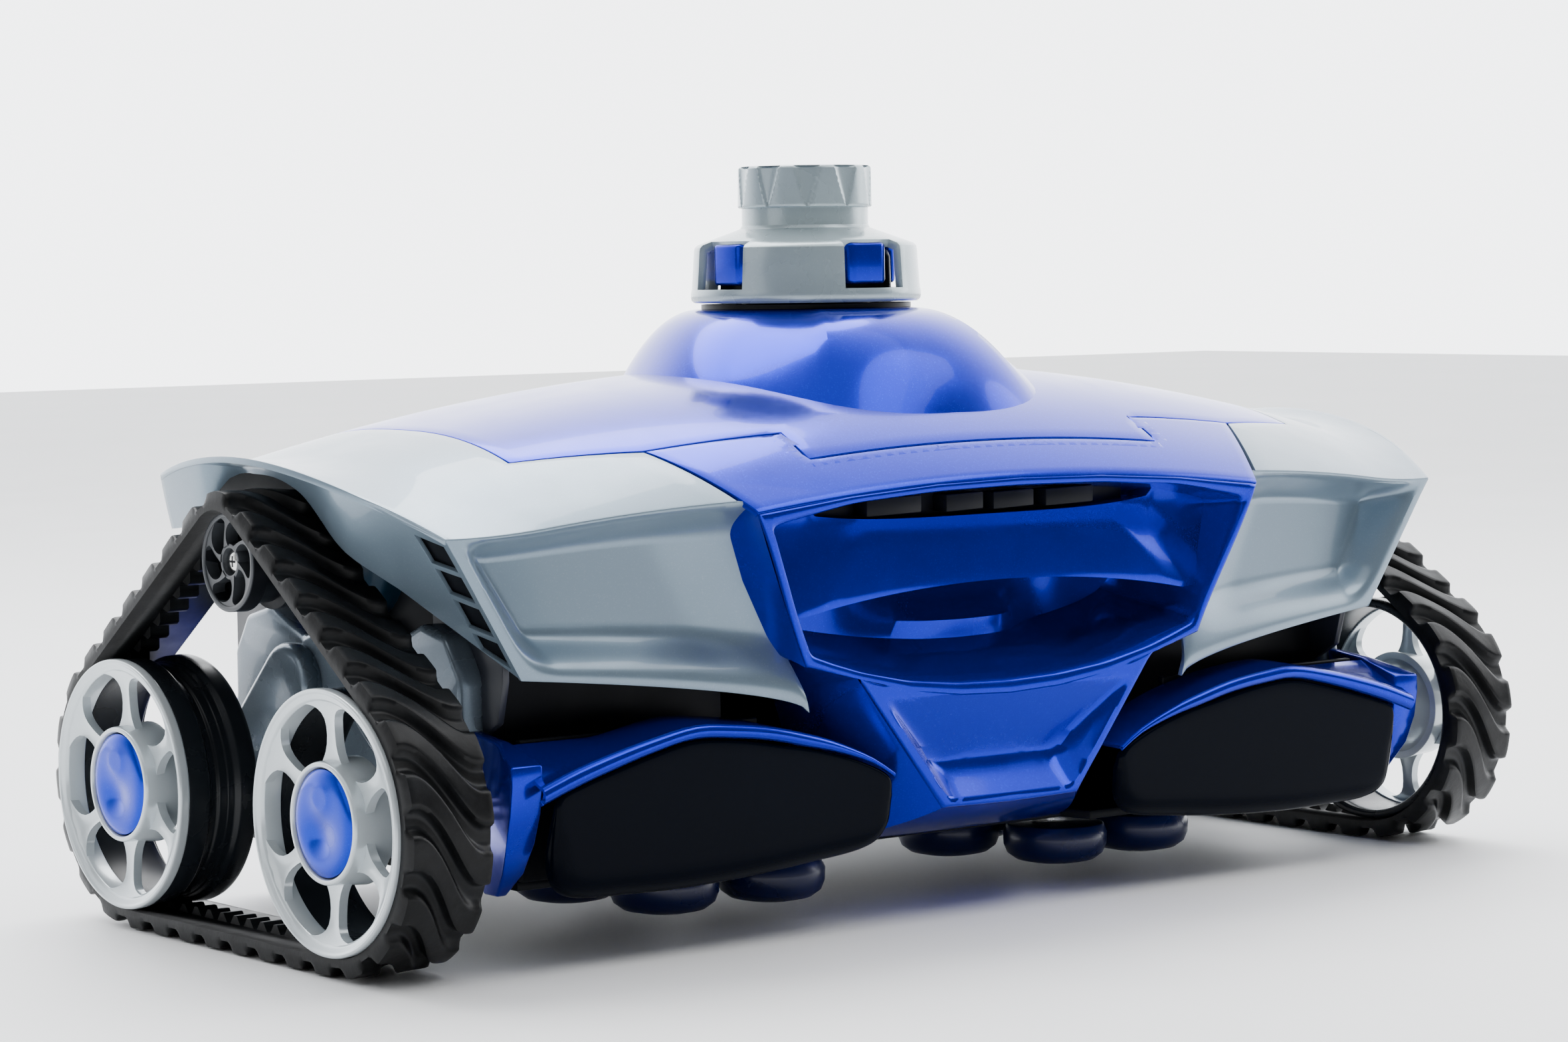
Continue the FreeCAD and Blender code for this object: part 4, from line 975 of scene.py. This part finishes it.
def fender_wall():
    """The side wall with its four louvres, and a dark sheet behind them, painted shade for the vents' inside.
    """
    ds = [0.0, 1.2, VENT_FROM, 8.0, 12.5, VENT_TO, LOUVRE_DEEP]
    vs = [0.0, 0.02, *(v for lo, hi in VENTS for v in (lo, (lo + hi) / 2, hi)), 0.985, 1.0]

    def vent(i, j):
        d, v = (ds[i] + ds[i + 1]) / 2, (vs[j] + vs[j + 1]) / 2
        return VENT_FROM < d < VENT_TO and any(lo < v < hi for lo, hi in VENTS)

    def after(k, v):
        """From the louvres to the ruled wall behind them."""
        return between(louvre_point(LOUVRE_DEEP, v), wall_point(LOUVRE_END, v), k)

    def behind_louvre(d, t):
        x, y, z = louvre_point(d, t)
        return x - 3.0, y + 1.4, z - 0.3

    wall, vent_shade_sheet = Shape(), Shape()
    wall.grid(louvre_point, ds, vs, skip=vent, flip=True)
    wall.grid(after, [0.0, 0.5, 1.0], vs, flip=True)
    wall.grid(wall_point, lin(LOUVRE_END, 10.0, 34) + lin(12.0, SIDE_REAR, 17), vs, flip=True)
    # painted shade: a dark sheet just behind the louvres, seen through the vents
    vent_shade_sheet.grid(behind_louvre, [2.0, LOUVRE_DEEP], vs[1:-1], flip=True)
    return wall, vent_shade_sheet


def fender_wing():
    """The scooped front, from the crest down to its foot."""
    knee, lip = 0.17, 0.67

    def point(u, v):
        """u from the nose to the outer corner, v from the upper edge to the lower edge."""
        foot = (91.5 + 115.9 * u, -114.5 + 12.6 * u, 81.7 + 19.0 * u ** 0.55)
        x, y, z = between(brow(1.03 * u - 0.03), foot, v)
        w = min(1.0, max(0.0, (v - 0.025) / 0.93))
        rise = 1 - (1 - w / knee) ** 2 if w < knee else 1.0
        rise -= 0.40 * max(0.0, w - knee) / (1 - knee) + 0.60 * smooth((w - lip) / (1 - lip))
        rib = smooth((1 - u - 0.03) / 0.13)
        hollow = 18.0 * rise * rib * (0.72 + 0.28 * smooth(u / 0.3))
        return x - 4.0 * math.sin(math.pi * v) * (1 - u) ** 3, y + hollow, z - 0.2

    wing = Shape()
    wing.grid(point, lin(0.0, 0.8, 34) + lin(0.8, 1.0, 18)[1:],
              [0.0, 0.012, 0.03] + lin(0.05, 0.3, 14) + lin(0.3, 1.0, 28)[1:], flip=True)
    return wing


def build_fender(side, sign):
    roof, (wall, vent_shade_sheet), wing, arch_shade = fender_roof(), fender_wall(), fender_wing(), Shape()
    # painted shade: a dark sheet inside the fender, under its roof, for the shaded arch over the belt
    x, low = 229.0, 147.0
    arch_shade.grid(lambda y, k: (x, y, low + (roof_z(x, y) - 3.2 - low) * k), lin(-84.0, SIDE_REAR, 20),
               [0.0, 1.0], flip=True)
    if sign < 0:
        for part in (roof, wall, wing, vent_shade_sheet, arch_shade):
            part.mirror_x()
    roof.piece(side + "_fender_roof", SILVER, "body", "silver_shell", side + "_fender", merge=0.03, wall=2.2,
               edge=(0.5, 3), smooth=40)
    wall.piece(side + "_fender_side", SILVER, "body", "silver_shell", merge=0.02, wall=1.6, edge=(0.45, 2),
               smooth=40)
    wing.piece(side + "_fender_wing", SILVER, "body", "silver_shell", merge=0.02, wall=1.8, edge=(0.5, 2),
               smooth=40)
    # the dark sheet behind the louvres is painted shade
    vent_shade_sheet.piece(side + "_louvre_painted_shade", DARK, "body", "dark_plastic")
    arch_shade.piece(side + "_arch_painted_shade", DARK, "body", "dark_plastic", wall=1.5)


# ---------------------------------------------------------------- lower body, flaps
TRIM = curve([(56, 57.6), (66, 63.8), (84, 71.3), (98, 75.4), (113, 78.8), (130, 81.0), (146, 82.0),
              (165, 79.0), (184, 74.9), (200, 70.6), (217, 64.5)])


def build_lower_body():
    pan = Shape()
    pan.prism([(-204, -92), (-64, -92), (-60, -79), (60, -79), (64, -92), (204, -92), (204, 92), (-204, 92)],
              upright, 26.0, 29.5)
    for s in (-1, 1):
        pan.prism([(-100, s * 69), (100, s * 69), (100, s * 72), (-100, s * 72)][::s], upright, 29.0, 112.0)
        pan.prism([(s * 193, -43), (s * 203, -43), (s * 203, 43), (s * 193, 43)][::s], upright, 29.0, 168.0)
    pan.piece("floor_pan", DARK, "body", "blue_body", "lower_body", edge=(0.8, 2))
    for side, sx in SIDES:
        for end, sy in (("front", 1), ("rear", -1)):
            build_corner(f"{end}_{side}", sx, sy)


def build_corner(tag, sx, sy):
    """The skirt, hood, arm and inner walls of one corner; sy is 1 at the front and -1 at the back."""
    skirt = Shape()
    outline = [(-90.0, 99.0), (-86.0, 84.0), (-62.0, 70.0), (-46.0, 70.0), (-46.0, 160.0), (-76.0, 160.0),
               (-90.0, 128.0)]
    skirt.prism([(sy * y, z) for y, z in outline], along_x(sx), 204.0, 207.0)
    # the skirt gets the painted-shade grey, for the shadow under the fender
    skirt.piece(tag + "_skirt", SHADE, "body", "frame_silver", edge=(0.8, 2))

    def hood_point(x, t):
        """t from 0 to 1 round the trim's roll, then to 2 along the hood's top."""
        z = TRIM(x)
        if t < 1.0:
            a = math.radians(170.0 * t - 80.0)
            r = 2.5 * (0.35 + 0.65 * smooth((x - 56.0) / 46.0)) + smooth((x - 146.0) / 60.0)
            return sx * x, sy * (HOOD_Y - r * math.cos(a)), z - 0.1 - r * (1 - math.sin(a))
        rise = max(1.0, 78.2 - z) if x > 146.0 else 1.0
        return sx * x, sy * (HOOD_Y + 22.0 * (t - 1.0)), z - 0.1 + rise * (t - 1.0)

    hood = Shape()
    hood.grid(hood_point, lin(56, 146, 19) + lin(146, 212.2, 14)[1:], lin(0.0, 0.97, 12) + lin(1.0, 2.0, 8),
              flip=(sx * sy < 0))
    hood.piece(tag + "_hood", BLUE, "body", "blue_body", merge=0.02, wall=1.6, smooth=35)

    arm = Shape()
    block = [(-115.4, 72.8), (-115.5, 66.0), (-114.0, 56.0), (-110.0, 45.0), (-103.0, 34.0), (-92.0, 25.0),
             (-83.0, 25.0), (-79.0, 50.0), (-78.0, 81.5), (-96.0, 79.0)]

    def arm_point(a, b, c):
        flare = smooth((a + 90.0) / -24.0)
        return sx * (208.4 + c * (4.0 + 9.2 * flare)), sy * a, b

    arm.prism(block[::-1] if sx * sy > 0 else block, arm_point, 0.0, 1.0)
    arm.piece(tag + "_arm", BLUE, "body", "blue_body", edge=(0.9, 3))

    # painted shade: dark walls inside the corner, for the shaded inside under the wing and hood
    wall = Shape()
    for x0, y0, top in ((100, -95, 79.0), (60, -72, 150.0)):
        outline = [(x0, y0), (204, y0), (204, y0 + 3), (x0, y0 + 3)]
        wall.prism([(sx * x, sy * y) for x, y in outline], upright, 29.5, top)
    wall.piece(tag + "_painted_shade_wall", DARK, "body", "blue_body", edge=(0.4, 1))


# outline of a flap from its inner end over the top: x, z and how far the edge rolls back
FLAP_EDGE = [(55.0, 49, 4), (57.5, 56.2, 2), (71, 62.6, 1.2), (90, 68.2, 1.2), (106, 71.3, 1.2),
             (126, 74.8, 1.2), (146, 76.2, 1.2), (163, 73.1, 1.2), (178, 69.4, 1.2), (194, 65.0, 1.2),
             (203.6, 61.4, 1.6), (205.4, 54, 3), (205.8, 44, 6), (204.8, 35.0, 8), (201.0, 28.0, 8),
             (192, 24.8, 8), (174, 24.0, 8), (150, 23.6, 8), (120, 24.6, 8), (90, 27.0, 8), (66, 30.2, 7),
             (57.0, 37.0, 6)]


def build_flap(body, sx, sy):
    edge = curve([(k, *p) for k, p in enumerate(FLAP_EDGE + FLAP_EDGE[:1])])
    ks = lin(0, len(FLAP_EDGE), 177)[:-1]
    face, turns = (0.0, 0.45, 0.8), lin(0.0, math.pi / 2, 7)

    def point(k, ring):
        """Rings from the middle of the face out to its edge, then round the edge's roll."""
        x, z, roll = edge(k)
        dx, dz = min(190.0, max(76.0, x)) - x, 49.0 - z
        length = math.hypot(dx, dz)
        if ring < len(face):
            inset, back = length - (length - roll) * face[ring], 0.0
        else:
            turn = turns[ring - len(face)]
            inset, back = roll * (1 - math.sin(turn)), roll * (1 - math.cos(turn))
        return sx * (x + dx / length * inset), sy * (FLAP_Y + back), z + dz / length * inset

    panel = Shape()
    last = len(face) + len(turns) - 1
    mirrored = sx * sy > 0
    panel.grid(point, ks, range(last + 1), close_u=True, flip=not mirrored)
    panel.fan([point(k, last) for k in ks][::-1 if mirrored else 1])
    panel.piece(body + "_panel", PANEL, body, "dark_panel", body, merge=0.05, smooth=40)


# ---------------------------------------------------------------- swivel
def build_cowl():
    """The silver cowl with its four windows, the blue blocks in them and a dark ring inside, painted shade
    seen through the windows.
    """
    window, low, high = 18.5, 6, 11
    profile = [(38.5, 226.8), (43.6, 226.8), (44.6, 227.6), (45.0, 228.8), (45.0, 230.4), (44.8, 231.3),
               (44.6, 232.1), (44.0, 240.0), (43.6, 246.8), (43.3, 248.2), (42.2, 249.3), (38.6, 250.6),
               (35.0, 251.9), (27.5, 254.6), (25.4, 255.4), (24.7, 256.6), (24.7, 265.8)]
    angles = []
    for c in (0, 90, 180, 270):
        angles += [c - window] + lin(c - window + 2.5, c + window - 2.5, 7) + [c + window]
        angles += lin(c + window + 4.0, c + 90 - window - 4.0, 12)

    def in_window(i, j):
        a = (angles[i] + angles[i + 1]) / 2 if i + 1 < len(angles) else angles[i] + 2.0
        return abs((a + 45) % 90 - 45) < window and low <= j < high

    cowl = Shape()
    cowl.grid(lambda a, k: about_z(profile[k][0], a, profile[k][1]), angles, range(len(profile)),
              close_u=True, skip=in_window)
    cowl.piece("swivel_shell", SWIVEL_SILVER, "swivel", "grey_plastic", "swivel_cowl", merge=0.02, wall=3.2,
               edge=(0.45, 3, 28), smooth=30)

    core = Shape()
    outline = [(-9.8, 20.0), (-9.8, 37.0), (-7.4, 39.2), (7.4, 39.2), (9.8, 37.0), (9.8, 20.0)]
    for c in (0, 90, 180, 270):
        ca, sa = math.cos(math.radians(c)), math.sin(math.radians(c))
        core.prism(outline, lambda a, b, h: (a * ca + b * sa, a * sa - b * ca, h), 233.6, 249.4)
    core.piece("swivel_blocks", BLUE, "swivel", "blue_body", "swivel_core", edge=(1.6, 4), smooth=40)
    # painted shade: a dark ring inside the cowl, seen through its windows
    inner = Shape()
    inner.turned([(20.4, 228.8), (41.0, 228.8), (40.4, 231.2), (33.4, 232.0), (33.0, 244.0), (32.0, 246.4),
                  (21.2, 252.8), (20.4, 252.8)], upright, 96)
    inner.piece("swivel_shade_ring", DARK, "swivel", "dark_plastic", smooth=40)


def build_nut():
    """The hose nut, with ten scallops that widen upwards."""
    pitch, deep = 36.0, 1.5

    def outside(a, z):
        t = (z - NUT_LOW) / (NUT_HIGH - NUT_LOW)
        half = 12.0 * max(0.0, t - 0.02) ** 0.75
        off = abs((a + pitch / 2) % pitch - pitch / 2)
        scooped = half > 0.2 and off < half
        dip = deep * (1 - (off / half) ** 2) ** 0.6 * (0.35 + 0.65 * t) if scooped else 0.0
        top = 0.9 * max(0.0, (t - 0.93) / 0.07) ** 2
        low = 0.5 * max(0.0, (0.04 - t) / 0.04) ** 2
        return about_z(NUT_R + 0.3 * (1 - t) - dip - top - low, a, z)

    nut = Shape()
    sides = lin(0.0, 360.0, 241)[:-1]
    heights = [NUT_LOW, NUT_LOW + 0.3, NUT_LOW + 0.7] + lin(NUT_LOW + 1.4, NUT_HIGH - 1.4, 16)
    heights += [NUT_HIGH - 0.9, NUT_HIGH - 0.5, NUT_HIGH - 0.2, NUT_HIGH]
    nut.grid(outside, sides, heights, close_u=True, flip=True)
    bore = [(25.0, NUT_HIGH), (22.6, 279.7), (21.9, 279.2), (21.9, 267.2), (25.0, 267.0), (25.0, 263.5),
            (25.7, NUT_LOW)]
    nut.grid(lambda a, k: about_z(bore[k][0], a, bore[k][1]), sides, range(len(bore)), close_u=True,
             flip=True)
    nut.piece("scalloped_nut", SWIVEL_SILVER, "nut", "grey_plastic", "hose_nut", merge=0.02, smooth=24)


# ---------------------------------------------------------------- feet under the floor
def build_feet(body, sx):
    """Five round pads on arms about a spindle."""
    feet = Shape()
    cx, cy = sx * BRUSH_X, BRUSH_Y
    pad = [(0.01, 6.2), (10.0, 6.4), (15.5, 7.6), (18.8, 10.0), (20.2, 13.4), (20.4, 18.0), (19.0, 21.6),
           (0.01, 21.8)]
    for k in range(FEET):
        a = math.radians(72 * k + 22)
        if sx < 0:
            a = math.pi - a
        ca, sa = math.cos(a), math.sin(a)
        feet.turned(pad, lambda p, q, h: (cx + FEET_R * ca + p, cy + FEET_R * sa + q, h), 40, closed=False)
        feet.prism([(8, -5), (32, -4), (32, 4), (8, 5)],
                   lambda p, q, h: (cx + p * ca - q * sa, cy + p * sa + q * ca, h), 14.4, 20.8)
    hub = rounded([(4.1, 12.2), (14.8, 12.2), (14.8, 21.8), (4.1, 21.8)], 1.2)
    feet.turned(hub, lambda p, q, h: (cx + p, cy + q, h), 48)
    feet.piece(body + "_feet", FOOT, body, "soft_rubber", body, edge=(0.5, 2, 50), smooth=45)


# ---------------------------------------------------------------- tail
def build_tail():
    """The closed back, with the nose's outline, five outlet slots and the hinge ears."""
    side_x, side_z = [p[0] for p in NOSE_SIDE], [p[1] for p in NOSE_SIDE]
    us, zs = lin(-1, 1, 81), lin(42.0, 154.6, 61)
    crown_from = 146.0
    p = []
    for z in zs:
        for u in us:
            x = u * np.interp(z, side_z, side_x)
            crown = 163.6 - 7.8 * (x / NOSE_X) ** 2 - crown_from
            p.append((x, z if z < crown_from else crown_from + (z - crown_from) / 8.6 * crown))
    p = np.array(p)
    d = np.maximum(inside(p, both(NOSE_OUT)), 0.0)
    y = TAIL_Y - 1.6 * (1 - np.sqrt(1 - np.clip(1 - d / 1.6, 0, 1) ** 2 * 0.999))
    for i in range(5):
        z, reach = 106.0 + 9 * i, 44 + 7 * i
        slot = inside(p, [(-reach, z - 2), (reach, z - 2), (reach + 2.5, z + 2), (-reach - 2.5, z + 2)])
        y = y - 6.0 * np.clip((slot + 0.3) / 1.5, 0, 1)
    rows = np.column_stack([p[:, 0], y, p[:, 1]]).reshape(len(zs), len(us), 3)

    def side(k, t):
        i = min(int(k), len(NOSE_SIDE) - 2)
        x, z = between(NOSE_SIDE[i], NOSE_SIDE[i + 1], k - i)
        return x + 3.0 * t, 118.2 - 44.0 * t, z + 1.0 * t

    back = Shape()
    back.grid(lambda i, j: rows[i, j], range(len(zs)), range(len(us)))
    back.both_sides(side, [k / 4 for k in range(4 * (len(NOSE_SIDE) - 1) + 1)], lin(0, 1, 6), flip=True)
    back.grid(lambda u, t: (u * (33 + 2 * t), 118.2 - 44 * t, 42.0), lin(-1, 1, 5), lin(0, 1, 4))
    back.piece("tail_face", BLUE, "body", "blue_shell", "rear_shell", smooth=40)

    roof = Shape()
    front_y = COVER_REAR + 0.7
    us, ys = lin(-1, 1, 61), [front_y, 99.0, 102.2] + lin(104.0, 117.6, 8) + [118.6, 119.2, TAIL_Y]

    def notch(i, j):
        """Cells left out for the cover's knuckles."""
        x = abs((us[i] + us[i + 1]) / 2 * 136)
        return HINGE_X - 6.0 < x < HINGE_X + 6.0 and ys[j + 1] <= 102.3

    def roof_point(u, y):
        x = u * (138.0 - 12.0 * (y - front_y) / 22.4)
        return on_top(x, y, max(0.0, (y - 117.6) / 2.0) ** 2)

    roof.grid(roof_point, us, ys, skip=notch)
    roof.piece("tail_roof", BLUE, "body", "blue_shell", merge=0.02, wall=SKIN, edge=(0.5, 2), smooth=40)
    ears = Shape()
    for x in (-HINGE_X, HINGE_X):
        for x0 in (x - 10.2, x + 5.6):
            ears.turned(rounded([(0.01, x0), (4.1, x0), (4.1, x0 + 4.6), (0.01, x0 + 4.6)], 0.4, 2),
                        along_x(1, HINGE_Y, HINGE_Z), 40)
            ears.prism([(97.6, 178.0), (105.5, 175.5), (104.0, 179.0), (99.0, 184.0)], along_x(1),
                       x0 + 0.1, x0 + 4.5)
    ears.piece("tail_ears", BLUE, "body", "blue_shell", edge=(0.3, 2))


# ---------------------------------------------------------------- carried-over CAD nodes
def paint_cad():
    finish = {"steel": STEEL, "engine_plastic": ENGINE, "seal_rubber": SEAL, "dark_plastic": DARK,
              "blue_body": BLUE_BODY, "blue_shell": BLUE, "silver_shell": SILVER, "grey_plastic": PULLEY_GREY,
              "frame_silver": FRAME_SILVER, "wheel_silver": WHEEL_SILVER, "cap_blue": CAP_BLUE,
              "dark_panel": PANEL, "belt_rubber": RUBBER, "soft_rubber": FOOT}
    slots = {s["node"]: s["material_slot"] for s in frame["record"]["subparts"]}
    for name, node in frame["nodes"].items():
        node.data.materials.clear()
        node.data.materials.append(finish[slots[name]])


# ---------------------------------------------------------------- studio, its lights and camera in metres
def build_world():
    """A white wall behind the cleaner and a dimmer room in front of it."""
    white, dim = 5.0, 0.16
    world = bpy.data.worlds.new("studio")
    bpy.context.scene.world = world
    world.use_nodes = True
    tree = world.node_tree
    background = tree.nodes["Background"]
    background.inputs["Color"].default_value = (0.95, 0.97, 1.0, 1.0)
    facing = tree.nodes.new("ShaderNodeVectorMath")
    facing.operation = "DOT_PRODUCT"
    facing.inputs[1].default_value = (0.6, 0.8, 0.0)
    tree.links.new(tree.nodes.new("ShaderNodeTexCoord").outputs["Generated"], facing.inputs[0])
    wall = tree.nodes.new("ShaderNodeMapRange")
    wall.interpolation_type = "SMOOTHSTEP"
    for name, value in (("From Min", -0.1), ("From Max", 0.85), ("To Min", dim), ("To Max", white)):
        wall.inputs[name].default_value = value
    tree.links.new(facing.outputs["Value"], wall.inputs["Value"])
    # seen directly, the wall is white all round, so that every view has the same backdrop
    seen = tree.nodes.new("ShaderNodeMix")
    seen.inputs["B"].default_value = white
    tree.links.new(tree.nodes.new("ShaderNodeLightPath").outputs["Is Camera Ray"], seen.inputs["Factor"])
    tree.links.new(wall.outputs["Result"], seen.inputs["A"])
    tree.links.new(seen.outputs["Result"], background.inputs["Strength"])


def build_studio():
    floor = Shape()
    floor.grid(lambda x, y: (x, y, 0.0), lin(-6000, 6000, 25), lin(-6000, 6000, 25))
    m = Nodes("pale_floor")
    m.link(m.ramp(m.noise(3.0, 4.0), (0.3, (0.92, 0.93, 0.935)), (0.7, (0.955, 0.955, 0.96))),
           m.shader.inputs["Base Color"])
    m.link(m.ramp(m.noise(12.0), (0.3, 0.55), (0.7, 0.65)), m.shader.inputs["Roughness"])
    floor.object("studio_floor", m.material)
    build_world()

    middle = (0.0, 0.0, 0.12)
    for name, at, target, size, power in (
            ("key_above", (0.2, 0.9, 1.8), middle, (1.9, 1.2), 46.0),
            ("left_wall", (-1.7, 0.2, 0.8), middle, (1.1, 1.2), 4.0),
            ("front_high", (0.95, -1.0, 2.1), (0.0, 0.0, 0.08), (1.9, 0.9), 15.0),
            ("right_wall", (1.7, -0.5, 0.8), middle, (1.0, 1.2), 9.0)):
        data = bpy.data.lights.new(name, "AREA")
        data.shape = "ELLIPSE"
        (data.size, data.size_y), data.energy = size, power
        obj = bpy.data.objects.new(name, data)
        bpy.context.scene.collection.objects.link(obj)
        obj.location = at
        obj.rotation_euler = (Vector(at) - Vector(target)).to_track_quat("Z", "Y").to_euler()
    sun = bpy.data.lights.new("sky_fill", "SUN")
    sun.energy, sun.angle = 1.3, math.radians(70.0)
    sky = bpy.data.objects.new("sky_fill", sun)
    bpy.context.scene.collection.objects.link(sky)
    sky.rotation_euler = (math.radians(8.0), 0.0, 0.0)


def build_camera():
    turn, tilt, roll = math.radians(-36.965), math.radians(4.5116), math.radians(-0.8212)
    place = (-0.9963, -1.2562, 0.2446)
    back = Vector((math.sin(turn) * math.cos(tilt), -math.cos(turn) * math.cos(tilt), math.sin(tilt)))
    level = Vector((0, 0, 1)).cross(back).normalized()
    plumb = back.cross(level)
    right = level * math.cos(roll) + plumb * math.sin(roll)
    up = plumb * math.cos(roll) - level * math.sin(roll)
    data = bpy.data.cameras.new("photo_view")
    data.lens, data.sensor_width = 93.889, 36.0
    data.shift_x, data.shift_y = 0.0498, 0.0377
    obj = bpy.data.objects.new("photo_view", data)
    bpy.context.scene.collection.objects.link(obj)
    obj.matrix_world = Matrix([*((r, u, b, p) for r, u, b, p in zip(right, up, back, place)), (0, 0, 0, 1)])
    bpy.context.scene.camera = obj


paint_cad()
for side, sign in SIDES:
    build_belt(side, sign)
for side, sign in SIDES:
    for end, y in (("front", -WHEEL_Y), ("rear", WHEEL_Y)):
        build_wheel(f"{side}_{end}_wheel", sign, y)
for build in (build_pulley, build_frame):
    for side, sign in SIDES:
        build(side, sign)
build_cover()
build_nose()
for side, sign in SIDES:
    build_fender(side, sign)
build_lower_body()
for end, end_sign in (("front", 1), ("rear", -1)):
    for side, sign in SIDES:
        build_flap(f"{end}_{side}_flap", sign, end_sign)
build_cowl()
build_nut()
for side, sign in SIDES:
    build_feet(side + "_brush", sign)
build_tail()
build_studio()
build_camera()
